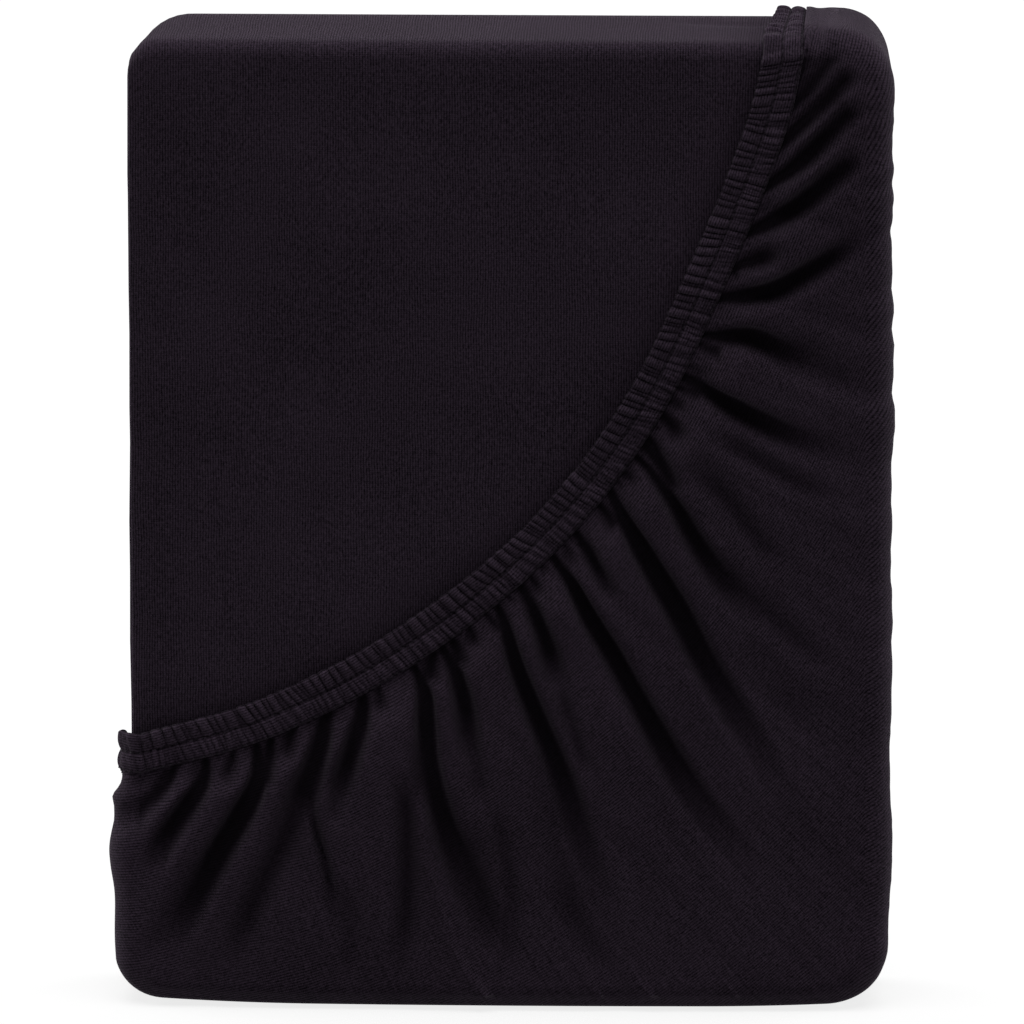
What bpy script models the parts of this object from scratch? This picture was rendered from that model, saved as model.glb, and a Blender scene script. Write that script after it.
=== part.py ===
"""Fitted sheet of cotton jersey, folded into an upright pack.

One cloth makes the whole pack.  Inside it runs back and forth as a stack of layers.  Its
outer layer comes out at the foot as the smooth front panel, turns over the top and runs
down as the back panel.  There the last corner of the sheet begins: it goes round the foot,
the right side and the lower left side, and lies over the front as a skirt of radial folds
that a gathered, elasticated hem draws together.

Sizes are in millimetres here and become metres when the mesh is made.
X is to the right, Y to the back, Z up.  The origin is under the middle of the pack.
"""
import math
import random

import bmesh
import bpy
from mathutils import Vector

METRE = 0.001            # metres in one millimetre

# ---- driving dimensions, in millimetres ----------------------------------------------
CLOTH = 1.2              # one drawn layer of jersey
GAP = 0.4                # air between two layers
FRONT = -21.0            # outer face of the front panel, where it isn't bellied
BACK = 23.0              # outer face of the back panel
STACK_LEFT, STACK_RIGHT = -120.0, 118.4
STACK_TOP = 313.0
PLIES = 25               # layers inside, between the front and the back panel
WALL_LEFT, WALL_RIGHT = -121.8, 118.8    # inner faces of the corner's side walls
WALL_TOP = STACK_TOP + GAP
FLOOR = CLOTH            # inner face of the corner's foot, whose outer face is at zero
CORNER_FOOT_LEFT, CORNER_FOOT_RIGHT, CORNER_TOP = 11.0, 14.0, 9.0
FRONT_EDGE, BACK_EDGE = 4.5, 3.0         # radii of the long edges
TOP_LEFT_FRONT, TOP_LEFT_BACK = 8.0, 19.0    # the open top corner, rounder at the back
SIDE_EASE, SIDE_PINCH = 8.0, 0.035       # the layers thin out towards the open left side
BELLY_FOOT, BELLY_TOP = 3.6, 0.8         # how far the front panel bulges in the middle
BELLY_HALF = 122.0       # from the middle to where the bulge ends
FOOT_LIFT, FOOT_FLAT = 1.6, 62.0         # the foot rises towards its corners, outside its flat
CORNER_FADE = 45.0       # height within which the shaping of the corners fades out
HEM_WIDTH = 13.3
HEM_TURN = 25.0          # length over which the hem squares up to the pack's edges
HEM_END = 6.0            # length over which the hem flattens into the back panel
PUFF_PITCH = 3.4         # gathers along the hem, on the walls
SMALL_PUFF = 0.55        # share of the full height that the smallest puffs have

# Upper edge of the hem where it crosses the front, from the left edge to the top edge.
HEM_ROUTE = (            # x, z
    (-117.3, 87.0), (-78.1, 99.0), (-36.2, 121.3), (5.4, 154.3),
    (36.8, 194.0), (62.1, 241.2), (75.5, 284.0), (81.3, 308.9),
)

# Cross-section of the hem band: distance from its upper edge, height of its outer face on
# a puff and in the cleft beside it.
HEM_SECTION = (          # across, puff, cleft
    (0.0, 1.7, 1.4),
    (3.4, 3.1, 2.3),
    (6.8, 2.2, 1.9),
    (10.0, 3.0, 2.2),
    (HEM_WIDTH, 2.0, 1.8),
)
HEM_LOW = 0.2            # inner face of the band above the panel

# The valleys of the skirt, from the left edge to the top edge.  "hem" is the distance
# along the hem where a valley starts, "rim" the distance along the pack's outline where it
# aims, "bow" its bend to the right-hand side, "depth" its share of the full height of the
# folds, "width" its half width, and "reach" how far it runs, from hem to outline.
VALLEYS = (              # hem, rim, bow, depth, width, reach
    (2.5, 8.0, 0.0, 0.50, 1.8, 1.00),
    (7.5, 21.5, 0.0, 0.80, 2.8, 1.40),
    (18.8, 43.7, 0.0, 0.95, 3.6, 1.40),
    (27.0, 58.0, -1.5, 0.50, 2.0, 0.25),
    (36.0, 73.3, -4.6, 1.00, 4.8, 1.10),
    (47.0, 94.0, 0.0, 0.60, 2.4, 0.35),
    (59.3, 133.8, 7.0, 1.00, 4.6, 0.70),
    (69.7, 156.4, 5.0, 0.90, 3.2, 0.50),
    (78.0, 170.0, 4.0, 0.50, 2.2, 0.25),
    (89.4, 186.6, 3.4, 1.00, 4.4, 1.00),
    (101.5, 202.7, 3.5, 0.90, 3.4, 0.55),
    (110.5, 217.0, 2.0, 0.45, 2.0, 0.22),
    (119.5, 233.0, 1.5, 0.95, 3.8, 0.90),
    (128.5, 252.3, 2.0, 0.70, 2.8, 0.50),
    (142.6, 288.0, 2.0, 1.00, 4.6, 0.90),
    (151.9, 301.0, 1.0, 0.60, 2.2, 0.30),
    (166.2, 317.0, 2.5, 1.00, 5.0, 0.90),
    (176.0, 350.0, 2.0, 0.40, 2.0, 0.20),
    (184.7, 380.0, 2.0, 0.90, 3.8, 0.65),
    (196.8, 427.7, 0.0, 0.75, 3.0, 0.40),
    (210.4, 465.3, 2.5, 1.00, 5.0, 0.90),
    (224.2, 501.5, 0.0, 0.90, 4.8, 0.80),
    (236.8, 552.1, 5.0, 1.00, 4.6, 1.10),
    (246.9, 563.6, 3.0, 0.70, 2.8, 0.60),
    (256.7, 578.1, 3.3, 1.00, 4.2, 1.10),
    (271.7, 592.6, 2.0, 1.00, 3.8, 1.15),
    (284.0, 606.0, 1.0, 1.00, 3.4, 1.20),
    (296.8, 615.7, 0.5, 0.95, 3.2, 1.20),
    (310.0, 624.9, 0.5, 0.70, 2.4, 1.00),
)
FOLD_HEIGHT, FOLD_HEIGHT_RIM = 5.2, 0.9  # height of the ridges near the hem and at the rim
FULL_FOLD_LENGTH = 38.0  # a fold line shorter than this has lower ridges
LOWEST_FOLD = 0.25       # share of the full height that the shortest fold lines keep
FOLD_RISE, HEM_PRESS = 8.0, 0.25    # from the hem, within this length, ridges rise from this share
VALLEY_FADE, VALLEY_FLANK = 0.6, 2.4     # how abruptly a valley ends and how steep its flanks are
FINE_VALLEY_GAP = 9.5    # valleys further apart than this get points on their flanks too
SKIRT_ROWS = (0.0, 0.05, 0.12, 0.23, 0.38, 0.56, 0.78, 1.0)
LEFT_BULGE = 2.0         # the lower left side bags out
SIDE_WAVE, SIDE_WAVE_LENGTH = 0.7, 119.4     # slow waves of the right side
WALL_FADE = 0.6          # share of a ridge's height that is lost on its way over a wall

# Places across the width where the outer layer and the inner layers have their points.
OUTER_STATIONS = (-120.0, -118.8, -116.0, -111.0, -104.0, -97.0, -45.0, 15.0, 60.0,
                  104.0, 111.0, 116.0, 118.4)
PLY_STATIONS = (-120.0, -112.0, 104.0, 118.4)
PLY_UNEVEN, PLY_RHYTHM = 0.8, 2.3        # how far and how fast their left ends step in and out
FREE_ROWS = 3            # rows of the outer layer, from its back edge, that stop at the hem
NEAR = 1.5               # distance over which the direction of a line is read
SHARP_ANGLE = 50.0       # edges sharper than this, in degrees, aren't shaded smooth


class Cloth:
    """A cloth as points with an outer and an inner side, and the faces between them."""

    def __init__(self):
        self.places = {}
        self.outer = []
        self.inner = []
        self.faces = []

    def point(self, place, normal, low, high):
        """Index of the point at a place; a second call for the same place shares it."""
        key = tuple(round(value, 3) for value in place)
        if key not in self.places:
            self.places[key] = len(self.outer)
            self.outer.append(place + normal * high)
            self.inner.append(place + normal * low)
        return self.places[key]

    def face(self, ring):
        ring = [p for i, p in enumerate(ring) if p != ring[i - 1]]
        if len(ring) > 2:
            self.faces.append(ring)

    def stitch(self, row_a, row_b):
        """Faces between two rows, which are dicts of station to point."""
        shared = sorted(row_a.keys() & row_b.keys())
        for start, end in zip(shared, shared[1:]):
            side_a = [row_a[s] for s in sorted(row_a) if start <= s <= end]
            side_b = [row_b[s] for s in sorted(row_b) if start <= s <= end]
            self.face(side_a + side_b[::-1])

    def rims(self):
        """The edges that only one face uses: the cut edges of the cloth."""
        uses = {}
        for ring in self.faces:
            for a, b in zip(ring, ring[1:] + ring[:1]):
                uses.setdefault(frozenset((a, b)), []).append((a, b))
        return [edges[0] for edges in uses.values() if len(edges) == 1]

    def mesh(self, name):
        """The closed solid: outer side, inner side and cut edges."""
        count = len(self.outer)
        places = [place * METRE for place in self.outer + self.inner]
        faces = list(self.faces)
        faces += [[index + count for index in reversed(ring)] for ring in self.faces]
        faces += [[b, a, a + count, b + count] for a, b in self.rims()]
        mesh = bpy.data.meshes.new(name)
        mesh.from_pydata(places, [], faces)
        solid = bmesh.new()
        solid.from_mesh(mesh)
        bmesh.ops.recalc_face_normals(solid, faces=solid.faces)
        solid.to_mesh(mesh)
        solid.free()
        return mesh


def clamp(value, low=0.0, high=1.0):
    return max(low, min(high, value))


def smooth(value):
    value = clamp(value)
    return value * value * (3.0 - 2.0 * value)


def blend(a, b, share):
    return a + (b - a) * share


def lookup(table, value, column):
    """A column of a table, read between its rows at a value of the first column."""
    for row, following in zip(table, table[1:]):
        if value <= following[0]:
            share = clamp((value - row[0]) / (following[0] - row[0]))
            return blend(row[column], following[column], share)
    return table[-1][column]


def round_off(distance, radius):
    """How far a quarter circle falls short of its tangent, near the end of an edge."""
    if distance >= radius:
        return 0.0
    reach = radius - max(distance, 0.0)
    return radius - math.sqrt(radius * radius - reach * reach)


# ---- the form that all layers share ----------------------------------------------------
def belly(x, z):
    """How far the front bulges at a place of the front view."""
    across = clamp(1.0 - (x / BELLY_HALF) ** 2)
    return across * blend(BELLY_FOOT, BELLY_TOP, clamp(z / STACK_TOP))


def foot_lift(x, z):
    """How far the foot rises towards its corners, fading upwards."""
    outwards = clamp((abs(x) - FOOT_FLAT) / (WALL_RIGHT - FOOT_FLAT))
    return FOOT_LIFT * outwards ** 2 * clamp(1.0 - z / CORNER_FADE)


def lifted(place):
    return Vector((place.x, place.y, place.z + foot_lift(place.x, place.z)))


# ---- the hem's line --------------------------------------------------------------------
def hem_line(steps=40):
    """The hem's upper edge as (length, x, z) rows, a smooth curve through its route."""
    ends = [tuple(2 * a - b for a, b in zip(HEM_ROUTE[0], HEM_ROUTE[1])),
            tuple(2 * a - b for a, b in zip(HEM_ROUTE[-1], HEM_ROUTE[-2]))]
    route = [Vector(p) for p in (ends[0],) + HEM_ROUTE + (ends[1],)]
    points = []
    for p0, p1, p2, p3 in zip(route, route[1:], route[2:], route[3:]):
        for step in range(steps):
            t = step / steps
            points.append(0.5 * (2 * p1 + (p2 - p0) * t
                                 + (2 * p0 - 5 * p1 + 4 * p2 - p3) * t * t
                                 + (3 * p1 - p0 - 3 * p2 + p3) * t * t * t))
    points.append(route[-2])
    rows = [(0.0, points[0].x, points[0].y)]
    for before, point in zip(points, points[1:]):
        rows.append((rows[-1][0] + (point - before).length, point.x, point.y))
    return rows


HEM_LINE = hem_line()
HEM_LENGTH = HEM_LINE[-1][0]


def hem_place(along):
    return Vector((lookup(HEM_LINE, along, 1), lookup(HEM_LINE, along, 2)))


def hem_across(along):
    """Direction across the hem, towards the skirt.  At both ends it follows the edges."""
    ahead = hem_place(along + NEAR) - hem_place(along - NEAR)
    square = Vector((ahead.y, -ahead.x)).normalized()
    at_left = smooth(1.0 - along / HEM_TURN)
    at_top = smooth(1.0 - (HEM_LENGTH - along) / HEM_TURN)
    turned = square * (1.0 - at_left - at_top) + Vector((0, -1)) * at_left
    return (turned + Vector((1, 0)) * at_top).normalized()


def hem_point(along, across):
    """A place of the hem band in the front view, as (x, z)."""
    return hem_place(along) + hem_across(along) * across


# ---- the outline of the corner -----------------------------------------------------------
HEM_FOOT = HEM_ROUTE[0][1] - HEM_WIDTH               # height where the outline starts
HEM_CROSSING = HEM_ROUTE[-1][0] + HEM_WIDTH          # place on the top where it ends


def outline_runs():
    """Straight runs and arcs of the outline: length, start, direction or centre, radius."""
    left_run = HEM_FOOT - FLOOR - CORNER_FOOT_LEFT
    foot_run = WALL_RIGHT - WALL_LEFT - CORNER_FOOT_LEFT - CORNER_FOOT_RIGHT
    right_run = WALL_TOP - FLOOR - CORNER_FOOT_RIGHT - CORNER_TOP
    top_run = WALL_RIGHT - CORNER_TOP - HEM_CROSSING
    quarter = math.pi / 2
    return (
        (left_run, (WALL_LEFT, HEM_FOOT), 180.0, 0.0),
        (CORNER_FOOT_LEFT * quarter, (WALL_LEFT + CORNER_FOOT_LEFT, FLOOR + CORNER_FOOT_LEFT),
         180.0, CORNER_FOOT_LEFT),
        (foot_run, (WALL_LEFT + CORNER_FOOT_LEFT, FLOOR), 270.0, 0.0),
        (CORNER_FOOT_RIGHT * quarter,
         (WALL_RIGHT - CORNER_FOOT_RIGHT, FLOOR + CORNER_FOOT_RIGHT), 270.0, CORNER_FOOT_RIGHT),
        (right_run, (WALL_RIGHT, FLOOR + CORNER_FOOT_RIGHT), 0.0, 0.0),
        (CORNER_TOP * quarter, (WALL_RIGHT - CORNER_TOP, WALL_TOP - CORNER_TOP), 0.0, CORNER_TOP),
        (top_run, (WALL_RIGHT - CORNER_TOP, WALL_TOP), 90.0, 0.0),
    )


OUTLINE = outline_runs()
OUTLINE_LENGTH = sum(run[0] for run in OUTLINE)


def outline_point(along):
    """Place and outward direction, as (x, z), on the outline.  It may be run past its ends."""
    for number, (length, start, facing, radius) in enumerate(OUTLINE):
        if along <= length or number == len(OUTLINE) - 1:
            break
        along -= length
    angle = math.radians(facing)
    if radius:
        angle += along / radius
        outward = Vector((math.cos(angle), math.sin(angle)))
        return Vector(start) + outward * radius, outward
    outward = Vector((math.cos(angle), math.sin(angle)))
    return Vector(start) + Vector((-outward.y, outward.x)) * along, outward


# ---- the corner's surface: front, edges and walls ------------------------------------------
FRONT_ARC = FRONT_EDGE * math.pi / 2
BACK_ARC = BACK_EDGE * math.pi / 2
WALL_RUN = (BACK - CLOTH) - (FRONT - GAP) - FRONT_EDGE - BACK_EDGE
AROUND = FRONT_ARC + WALL_RUN + BACK_ARC             # from the front over a wall to the back
WALL_ROWS = (0.0, FRONT_ARC / 2, FRONT_ARC, FRONT_ARC + WALL_RUN, AROUND - BACK_ARC / 2, AROUND)


def front_surface(flat):
    """A place of the front view, as (x, z), on the inner face of the skirt."""
    place = Vector((flat.x, FRONT - GAP - belly(flat.x, flat.y), flat.y))
    return lifted(place), Vector((0, -1, 0))


def wall_surface(along, around):
    """A place on the edges and walls of the corner, and the direction away from the pack."""
    rim, outward = outline_point(along)
    edge = rim - outward * FRONT_EDGE
    face = front_surface(edge)[0].y
    if around <= FRONT_ARC:
        angle = around / FRONT_EDGE
        inset = FRONT_EDGE * (1 - math.sin(angle))
        depth = face + FRONT_EDGE * (1 - math.cos(angle))
        tilt = math.pi / 2 - angle
        towards = -1
    elif around <= FRONT_ARC + WALL_RUN:
        share = (around - FRONT_ARC) / WALL_RUN
        inset = 0.0
        depth = blend(face + FRONT_EDGE, BACK - CLOTH - BACK_EDGE, share)
        tilt = 0.0
        towards = 1
    else:
        angle = (around - FRONT_ARC - WALL_RUN) / BACK_EDGE
        inset = BACK_EDGE * (1 - math.cos(angle))
        depth = BACK - CLOTH - BACK_EDGE * (1 - math.sin(angle))
        tilt = angle
        towards = 1
    flat = rim - outward * inset
    normal = Vector((outward.x * math.cos(tilt), towards * math.sin(tilt),
                     outward.y * math.cos(tilt)))
    return lifted(Vector((flat.x, depth, flat.y))), normal


def wall_swell(along, around, height):
    """Height of the cloth over a wall: the folds die out and the floor presses it flat."""
    outward = outline_point(along)[1]
    to_back = clamp((around - FRONT_ARC) / WALL_RUN)
    swell = height * (1.0 - WALL_FADE * to_back)
    if along < HEM_FOOT:
        swell += LEFT_BULGE * math.sin(math.pi * clamp(along / HEM_FOOT)) * clamp(around / FRONT_ARC)
    if outward.x > 0.9:
        wave = 0.5 + 0.5 * math.sin(2.0 * math.pi * along / SIDE_WAVE_LENGTH)
        swell += SIDE_WAVE * wave * clamp(around / FRONT_ARC)
    pressed = clamp(1.0 + min(outward.y, 0.0)) if around > 0.0 else 1.0
    return swell * pressed * clamp((AROUND - around) / BACK_ARC)


# ---- the skirt's folds -----------------------------------------------------------------------
def guide(along, column):
    """Rim place or bow of the fold line that starts at a place along the hem."""
    ends = (0.0,) * 6, (HEM_LENGTH, OUTLINE_LENGTH) + (0.0,) * 4
    return lookup((ends[0],) + VALLEYS + (ends[1],), along, column)


def skirt_point(along, share):
    """A place of the skirt in the front view: a share of the way from hem to outline."""
    start = hem_point(along, HEM_WIDTH)
    rim, outward = outline_point(guide(along, 1))
    end = rim - outward * FRONT_EDGE
    side = Vector((end.y - start.y, start.x - end.x))
    if side.length:
        side.normalize()
    bow = guide(along, 2) * 4.0 * share * (1.0 - share)
    return start.lerp(end, share) + side * bow


def stretch(along, share):
    """How much further apart the fold lines are than at the hem."""
    low, high = max(along - NEAR, 0.0), min(along + NEAR, HEM_LENGTH)
    return (skirt_point(high, share) - skirt_point(low, share)).length / (high - low)


def fold_height(along, share):
    """Height of the skirt over the pack: ridges between valleys, lower towards the rim.

    A valley is twice as wide at the rim as at the hem.
    """
    length = (skirt_point(along, 1.0) - skirt_point(along, 0.0)).length
    full = FOLD_HEIGHT * clamp(length / FULL_FOLD_LENGTH, LOWEST_FOLD)
    ridge = blend(full, min(full, FOLD_HEIGHT_RIM), clamp(share))
    ridge *= blend(HEM_PRESS, 1.0, smooth(share * length / FOLD_RISE))
    spread = max(stretch(along, share), 0.5)
    sunk = 0.0
    for start, _, _, depth, width, reach in VALLEYS:
        fade = clamp(1.0 - share / reach) ** VALLEY_FADE
        away = abs(along - start) * spread / (width * (1.0 + share))
        sunk = max(sunk, depth * fade * math.exp(-away ** VALLEY_FLANK))
    return ridge * (1.0 - sunk)


def skirt_columns():
    """Places along the hem where fold lines are drawn: valleys, flanks and ridges."""
    starts = [0.0] + [row[0] for row in VALLEYS] + [HEM_LENGTH]
    columns = [0.0]
    for start, end in zip(starts, starts[1:]):
        parts = 4 if end - start > FINE_VALLEY_GAP else 2
        columns += [blend(start, end, (n + 1) / parts) for n in range(parts)]
    return columns


# ---- the pieces of the cloth --------------------------------------------------------------------
def hem_stations(columns):
    """Places along the band: every fold line, and a puff's top halfway between two."""
    front = columns + [(a + b) / 2 for a, b in zip(columns, columns[1:])]
    count = round(WALL_RUN / PUFF_PITCH) * 2
    walls = list(WALL_ROWS) + [FRONT_ARC + WALL_RUN * n / count for n in range(1, count)]
    return sorted(set(front + [-w for w in walls] + [HEM_LENGTH + w for w in walls]))


def band_surface(along, across):
    """A place of the hem band, which runs on round the left side and over the top."""
    if along < 0.0:
        return wall_surface(across - HEM_WIDTH, -along)
    if along > HEM_LENGTH:
        return wall_surface(OUTLINE_LENGTH + HEM_WIDTH - across, along - HEM_LENGTH)
    return front_surface(hem_point(along, across))


def make_hem(cloth, columns):
    """The gathered band.  Its last row has only the points that the skirt shares."""
    chance = random.Random(11)
    stations = hem_stations(columns)
    shared = columns + [-w for w in WALL_ROWS] + [HEM_LENGTH + w for w in WALL_ROWS]
    size = {station: chance.uniform(SMALL_PUFF, 1.0) for station in stations}
    rows = []
    for across, puff, cleft in HEM_SECTION:
        row = {}
        for number, station in enumerate(stations):
            if across == HEM_WIDTH and station not in shared:
                continue
            place, normal = band_surface(station, across)
            swell = (puff - cleft) * size[station] if number % 2 else 0.0
            beyond = max(-station, station - HEM_LENGTH, 0.0)
            flat = smooth((beyond - AROUND + HEM_END) / HEM_END)
            low = blend(HEM_LOW, 0.0, flat)
            high = blend(cleft + swell, CLOTH, flat)
            row[station] = cloth.point(place, normal, low, high)
        rows.append(row)
    for upper, lower in zip(rows, rows[1:]):
        cloth.stitch(upper, lower)
    return rows


def make_skirt(cloth, columns, hem_foot):
    """Fold lines from the hem over the front, round the edge and over the wall."""
    lines = []
    for along in columns:
        rim = guide(along, 1)
        line = {}
        for share in SKIRT_ROWS:
            place, normal = front_surface(skirt_point(along, share))
            height = fold_height(along, share)
            line[share] = cloth.point(place, normal, height, height + CLOTH)
        line[0.0] = hem_foot[along]
        at_rim = fold_height(along, 1.0)
        for around in WALL_ROWS[1:]:
            place, normal = wall_surface(rim, around)
            height = wall_swell(rim, around, at_rim)
            line[1.0 + around] = cloth.point(place, normal, height, height + CLOTH)
        lines.append(line)
    for line, following in zip(lines, lines[1:]):
        cloth.stitch(line, following)
    return lines


def stack_place(x, y, z):
    """A place in the folded stack, with its rounded corners and thinner left end."""
    y_front = BACK + (y - BACK) * (1.0 - SIDE_PINCH * clamp(1 - (x - STACK_LEFT) / SIDE_EASE) ** 2)
    depth = clamp((BACK - y) / (BACK - FRONT))
    back_share = 1.0 - depth
    left = round_off(x - STACK_LEFT, blend(TOP_LEFT_FRONT, TOP_LEFT_BACK, back_share))
    right = round_off(STACK_RIGHT - x, CORNER_TOP + 1.0)
    foot = round_off(x - STACK_LEFT, CORNER_FOOT_LEFT + 1.0)
    foot += round_off(STACK_RIGHT - x, CORNER_FOOT_RIGHT + 1.0)
    high = clamp((z - STACK_TOP + CORNER_FADE) / CORNER_FADE)
    low = clamp((CORNER_FADE - z) / CORNER_FADE)
    z = z - (left + right) * high + foot * low
    return lifted(Vector((x, y_front - belly(x, z) * depth, z)))


def outer_layer_path():
    """The outer layer in section, from the back over the top and down the front."""
    half = CLOTH / 2
    back, front, top = BACK - half, FRONT + half, STACK_TOP - half
    slant = math.sqrt(0.5)
    path = [
        (back, top - BACK_EDGE),
        (back - BACK_EDGE * (1 - slant), top - BACK_EDGE * (1 - slant)),
        (back - BACK_EDGE, top),
        (back - 3 * BACK_EDGE, top),
        (front + FRONT_EDGE, top),
        (front + FRONT_EDGE * (1 - slant), top - FRONT_EDGE * (1 - slant)),
        (front, top - FRONT_EDGE),
    ]
    foot = FLOOR + GAP + CLOTH + FRONT_EDGE
    levels = (0.86, 0.72, 0.5, 0.25, 0.0)
    path += [(front, blend(foot, top, level)) for level in levels]
    return path


def end_drop(y):
    """How far a turn stays inside the rounded edges of the pack."""
    return (round_off(y - FRONT - CLOTH, FRONT_EDGE)
            + round_off(BACK - CLOTH - y, BACK_EDGE))


def ply_path():
    """The inner layers in section: back and forth from the front panel to the back."""
    half = CLOTH / 2
    pitch = (BACK - FRONT - CLOTH) / (PLIES + 1)
    places = [FRONT + half + pitch * n for n in range(PLIES + 1)]
    foot = FLOOR + GAP + half
    top = STACK_TOP - CLOTH - GAP - half
    path = []
    for number, (y, following) in enumerate(zip(places, places[1:])):
        middle = (y + following) / 2
        if number % 2 == 0:
            level = foot + end_drop(middle)
            turn = pitch / 2
        else:
            level = top - end_drop(middle)
            turn = -pitch / 2
        if number:
            path.append((y, level + turn))
        path.append((middle, level))
        path.append((following, level + turn))
    last = top - end_drop(places[-1]) if PLIES % 2 else foot + end_drop(places[-1])
    path.append((places[-1], last))
    return path


def section_normals(path):
    """Outward directions in section: the right-hand side of the path, as (y, z)."""
    steps = [(Vector(b) - Vector(a)).normalized() for a, b in zip(path, path[1:])]
    steps = [steps[0]] + steps + [steps[-1]]
    middles = [(a + b).normalized() for a, b in zip(steps, steps[1:])]
    return [Vector((0, step.y, -step.x)) for step in middles]


def make_stack(cloth, meeting):
    """The outer layer and the inner layers as rows across the width.

    Behind the hem's crossing the outer layer's rows stop, because there the back panel
    belongs to the corner.  They meet the corner at one point of the back edge.
    """
    crossing = HEM_ROUTE[-1][0]
    outer = outer_layer_path()
    path = outer + ply_path()
    half = CLOTH / 2
    open_stations = [x for x in OUTER_STATIONS if x < crossing] + [crossing]
    rows = []
    for number, ((y, z), normal) in enumerate(zip(path, section_normals(path))):
        if number < FREE_ROWS:
            stations = open_stations
        elif number == FREE_ROWS:
            stations = sorted(set(open_stations) | set(OUTER_STATIONS))
        elif number < len(outer):
            stations = OUTER_STATIONS
        else:
            stations = PLY_STATIONS
        row = {}
        for x in stations:
            if number == 0 and x == crossing:
                row[x] = meeting
                continue
            loose = number > len(outer) and x == STACK_LEFT
            shift = PLY_UNEVEN * math.sin(PLY_RHYTHM * y) if loose else 0.0
            place = stack_place(x, y, z) + Vector((shift, 0, 0))
            row[x] = cloth.point(place, normal, -half, half)
        rows.append(row)
    for row, following in zip(rows, rows[1:]):
        cloth.stitch(row, following)
    return rows[0]


def make_back(cloth, hem_rows, lines, top_row):
    """The back panel: one flat face inside the back edges of the corner and the stack."""
    last = HEM_LENGTH + AROUND
    ring = [row[last] for row in hem_rows]
    ring += [line[1.0 + AROUND] for line in reversed(lines)]
    ring += [row[-AROUND] for row in reversed(hem_rows)]
    ring += [top_row[x] for x in sorted(top_row)]
    ring = [p for i, p in enumerate(ring) if p != ring[i - 1]]
    cloth.face(ring)


def jersey():
    """Near-black cotton jersey with a slight purple cast."""
    material = bpy.data.materials.new("dark_jersey")
    material.use_nodes = True
    shader = material.node_tree.nodes["Principled BSDF"]
    shader.inputs["Base Color"].default_value = (0.012, 0.009, 0.013, 1.0)
    shader.inputs["Roughness"].default_value = 0.85
    shader.inputs["Metallic"].default_value = 0.0
    return material


def clear_scene():
    for thing in list(bpy.data.objects):
        bpy.data.objects.remove(thing, do_unlink=True)


def centre(mesh):
    """Move the points so that the origin is under the middle of the pack."""
    for axis in (0, 1):
        values = [vertex.co[axis] for vertex in mesh.vertices]
        middle = (min(values) + max(values)) / 2
        for vertex in mesh.vertices:
            vertex.co[axis] -= middle
    lowest = min(vertex.co.z for vertex in mesh.vertices)
    for vertex in mesh.vertices:
        vertex.co.z -= lowest


def main():
    clear_scene()
    cloth = Cloth()
    columns = skirt_columns()
    hem_rows = make_hem(cloth, columns)
    lines = make_skirt(cloth, columns, hem_rows[-1])
    top_row = make_stack(cloth, hem_rows[0][HEM_LENGTH + AROUND])
    make_back(cloth, hem_rows, lines, top_row)
    mesh = cloth.mesh("fitted_sheet")
    centre(mesh)
    mesh.materials.append(jersey())
    mesh.shade_smooth()
    mesh.set_sharp_from_angle(angle=math.radians(SHARP_ANGLE))
    sheet = bpy.data.objects.new("fitted_sheet", mesh)
    bpy.context.collection.objects.link(sheet)


main()
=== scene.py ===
"""Looks of the fitted sheet: black cotton jersey, folded into an upright pack.

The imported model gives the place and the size.  Here the cloth gets its real thin layers,
the uneven folds of the corner that is drawn over the front, the gathered and stitched hem,
and the knit.  Shapes are worked out in millimetres, in the same frame as the solid's source
before it is centred, and are moved onto the solid's box when the meshes are made.
X is to the right, Y to the back, Z up.
"""

import bisect
import math
import random

import bmesh
import bpy
import numpy as np
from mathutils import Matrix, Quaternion, Vector, noise


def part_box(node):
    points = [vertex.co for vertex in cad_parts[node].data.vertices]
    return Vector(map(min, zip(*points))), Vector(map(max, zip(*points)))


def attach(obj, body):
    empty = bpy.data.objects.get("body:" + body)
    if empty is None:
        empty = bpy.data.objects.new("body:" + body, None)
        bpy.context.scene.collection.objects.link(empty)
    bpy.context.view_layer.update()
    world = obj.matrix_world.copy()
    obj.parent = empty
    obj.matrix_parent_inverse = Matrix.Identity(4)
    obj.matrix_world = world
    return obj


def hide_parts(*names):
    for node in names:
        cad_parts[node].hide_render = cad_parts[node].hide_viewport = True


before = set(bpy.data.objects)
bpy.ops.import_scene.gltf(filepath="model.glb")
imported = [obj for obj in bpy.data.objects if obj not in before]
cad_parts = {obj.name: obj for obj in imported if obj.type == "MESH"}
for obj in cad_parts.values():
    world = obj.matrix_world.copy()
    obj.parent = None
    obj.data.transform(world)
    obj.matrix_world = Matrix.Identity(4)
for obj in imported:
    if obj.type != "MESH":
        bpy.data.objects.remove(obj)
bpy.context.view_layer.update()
CAD_NODE = "fitted_sheet"

METRE = 0.001            # metres in one millimetre

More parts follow.
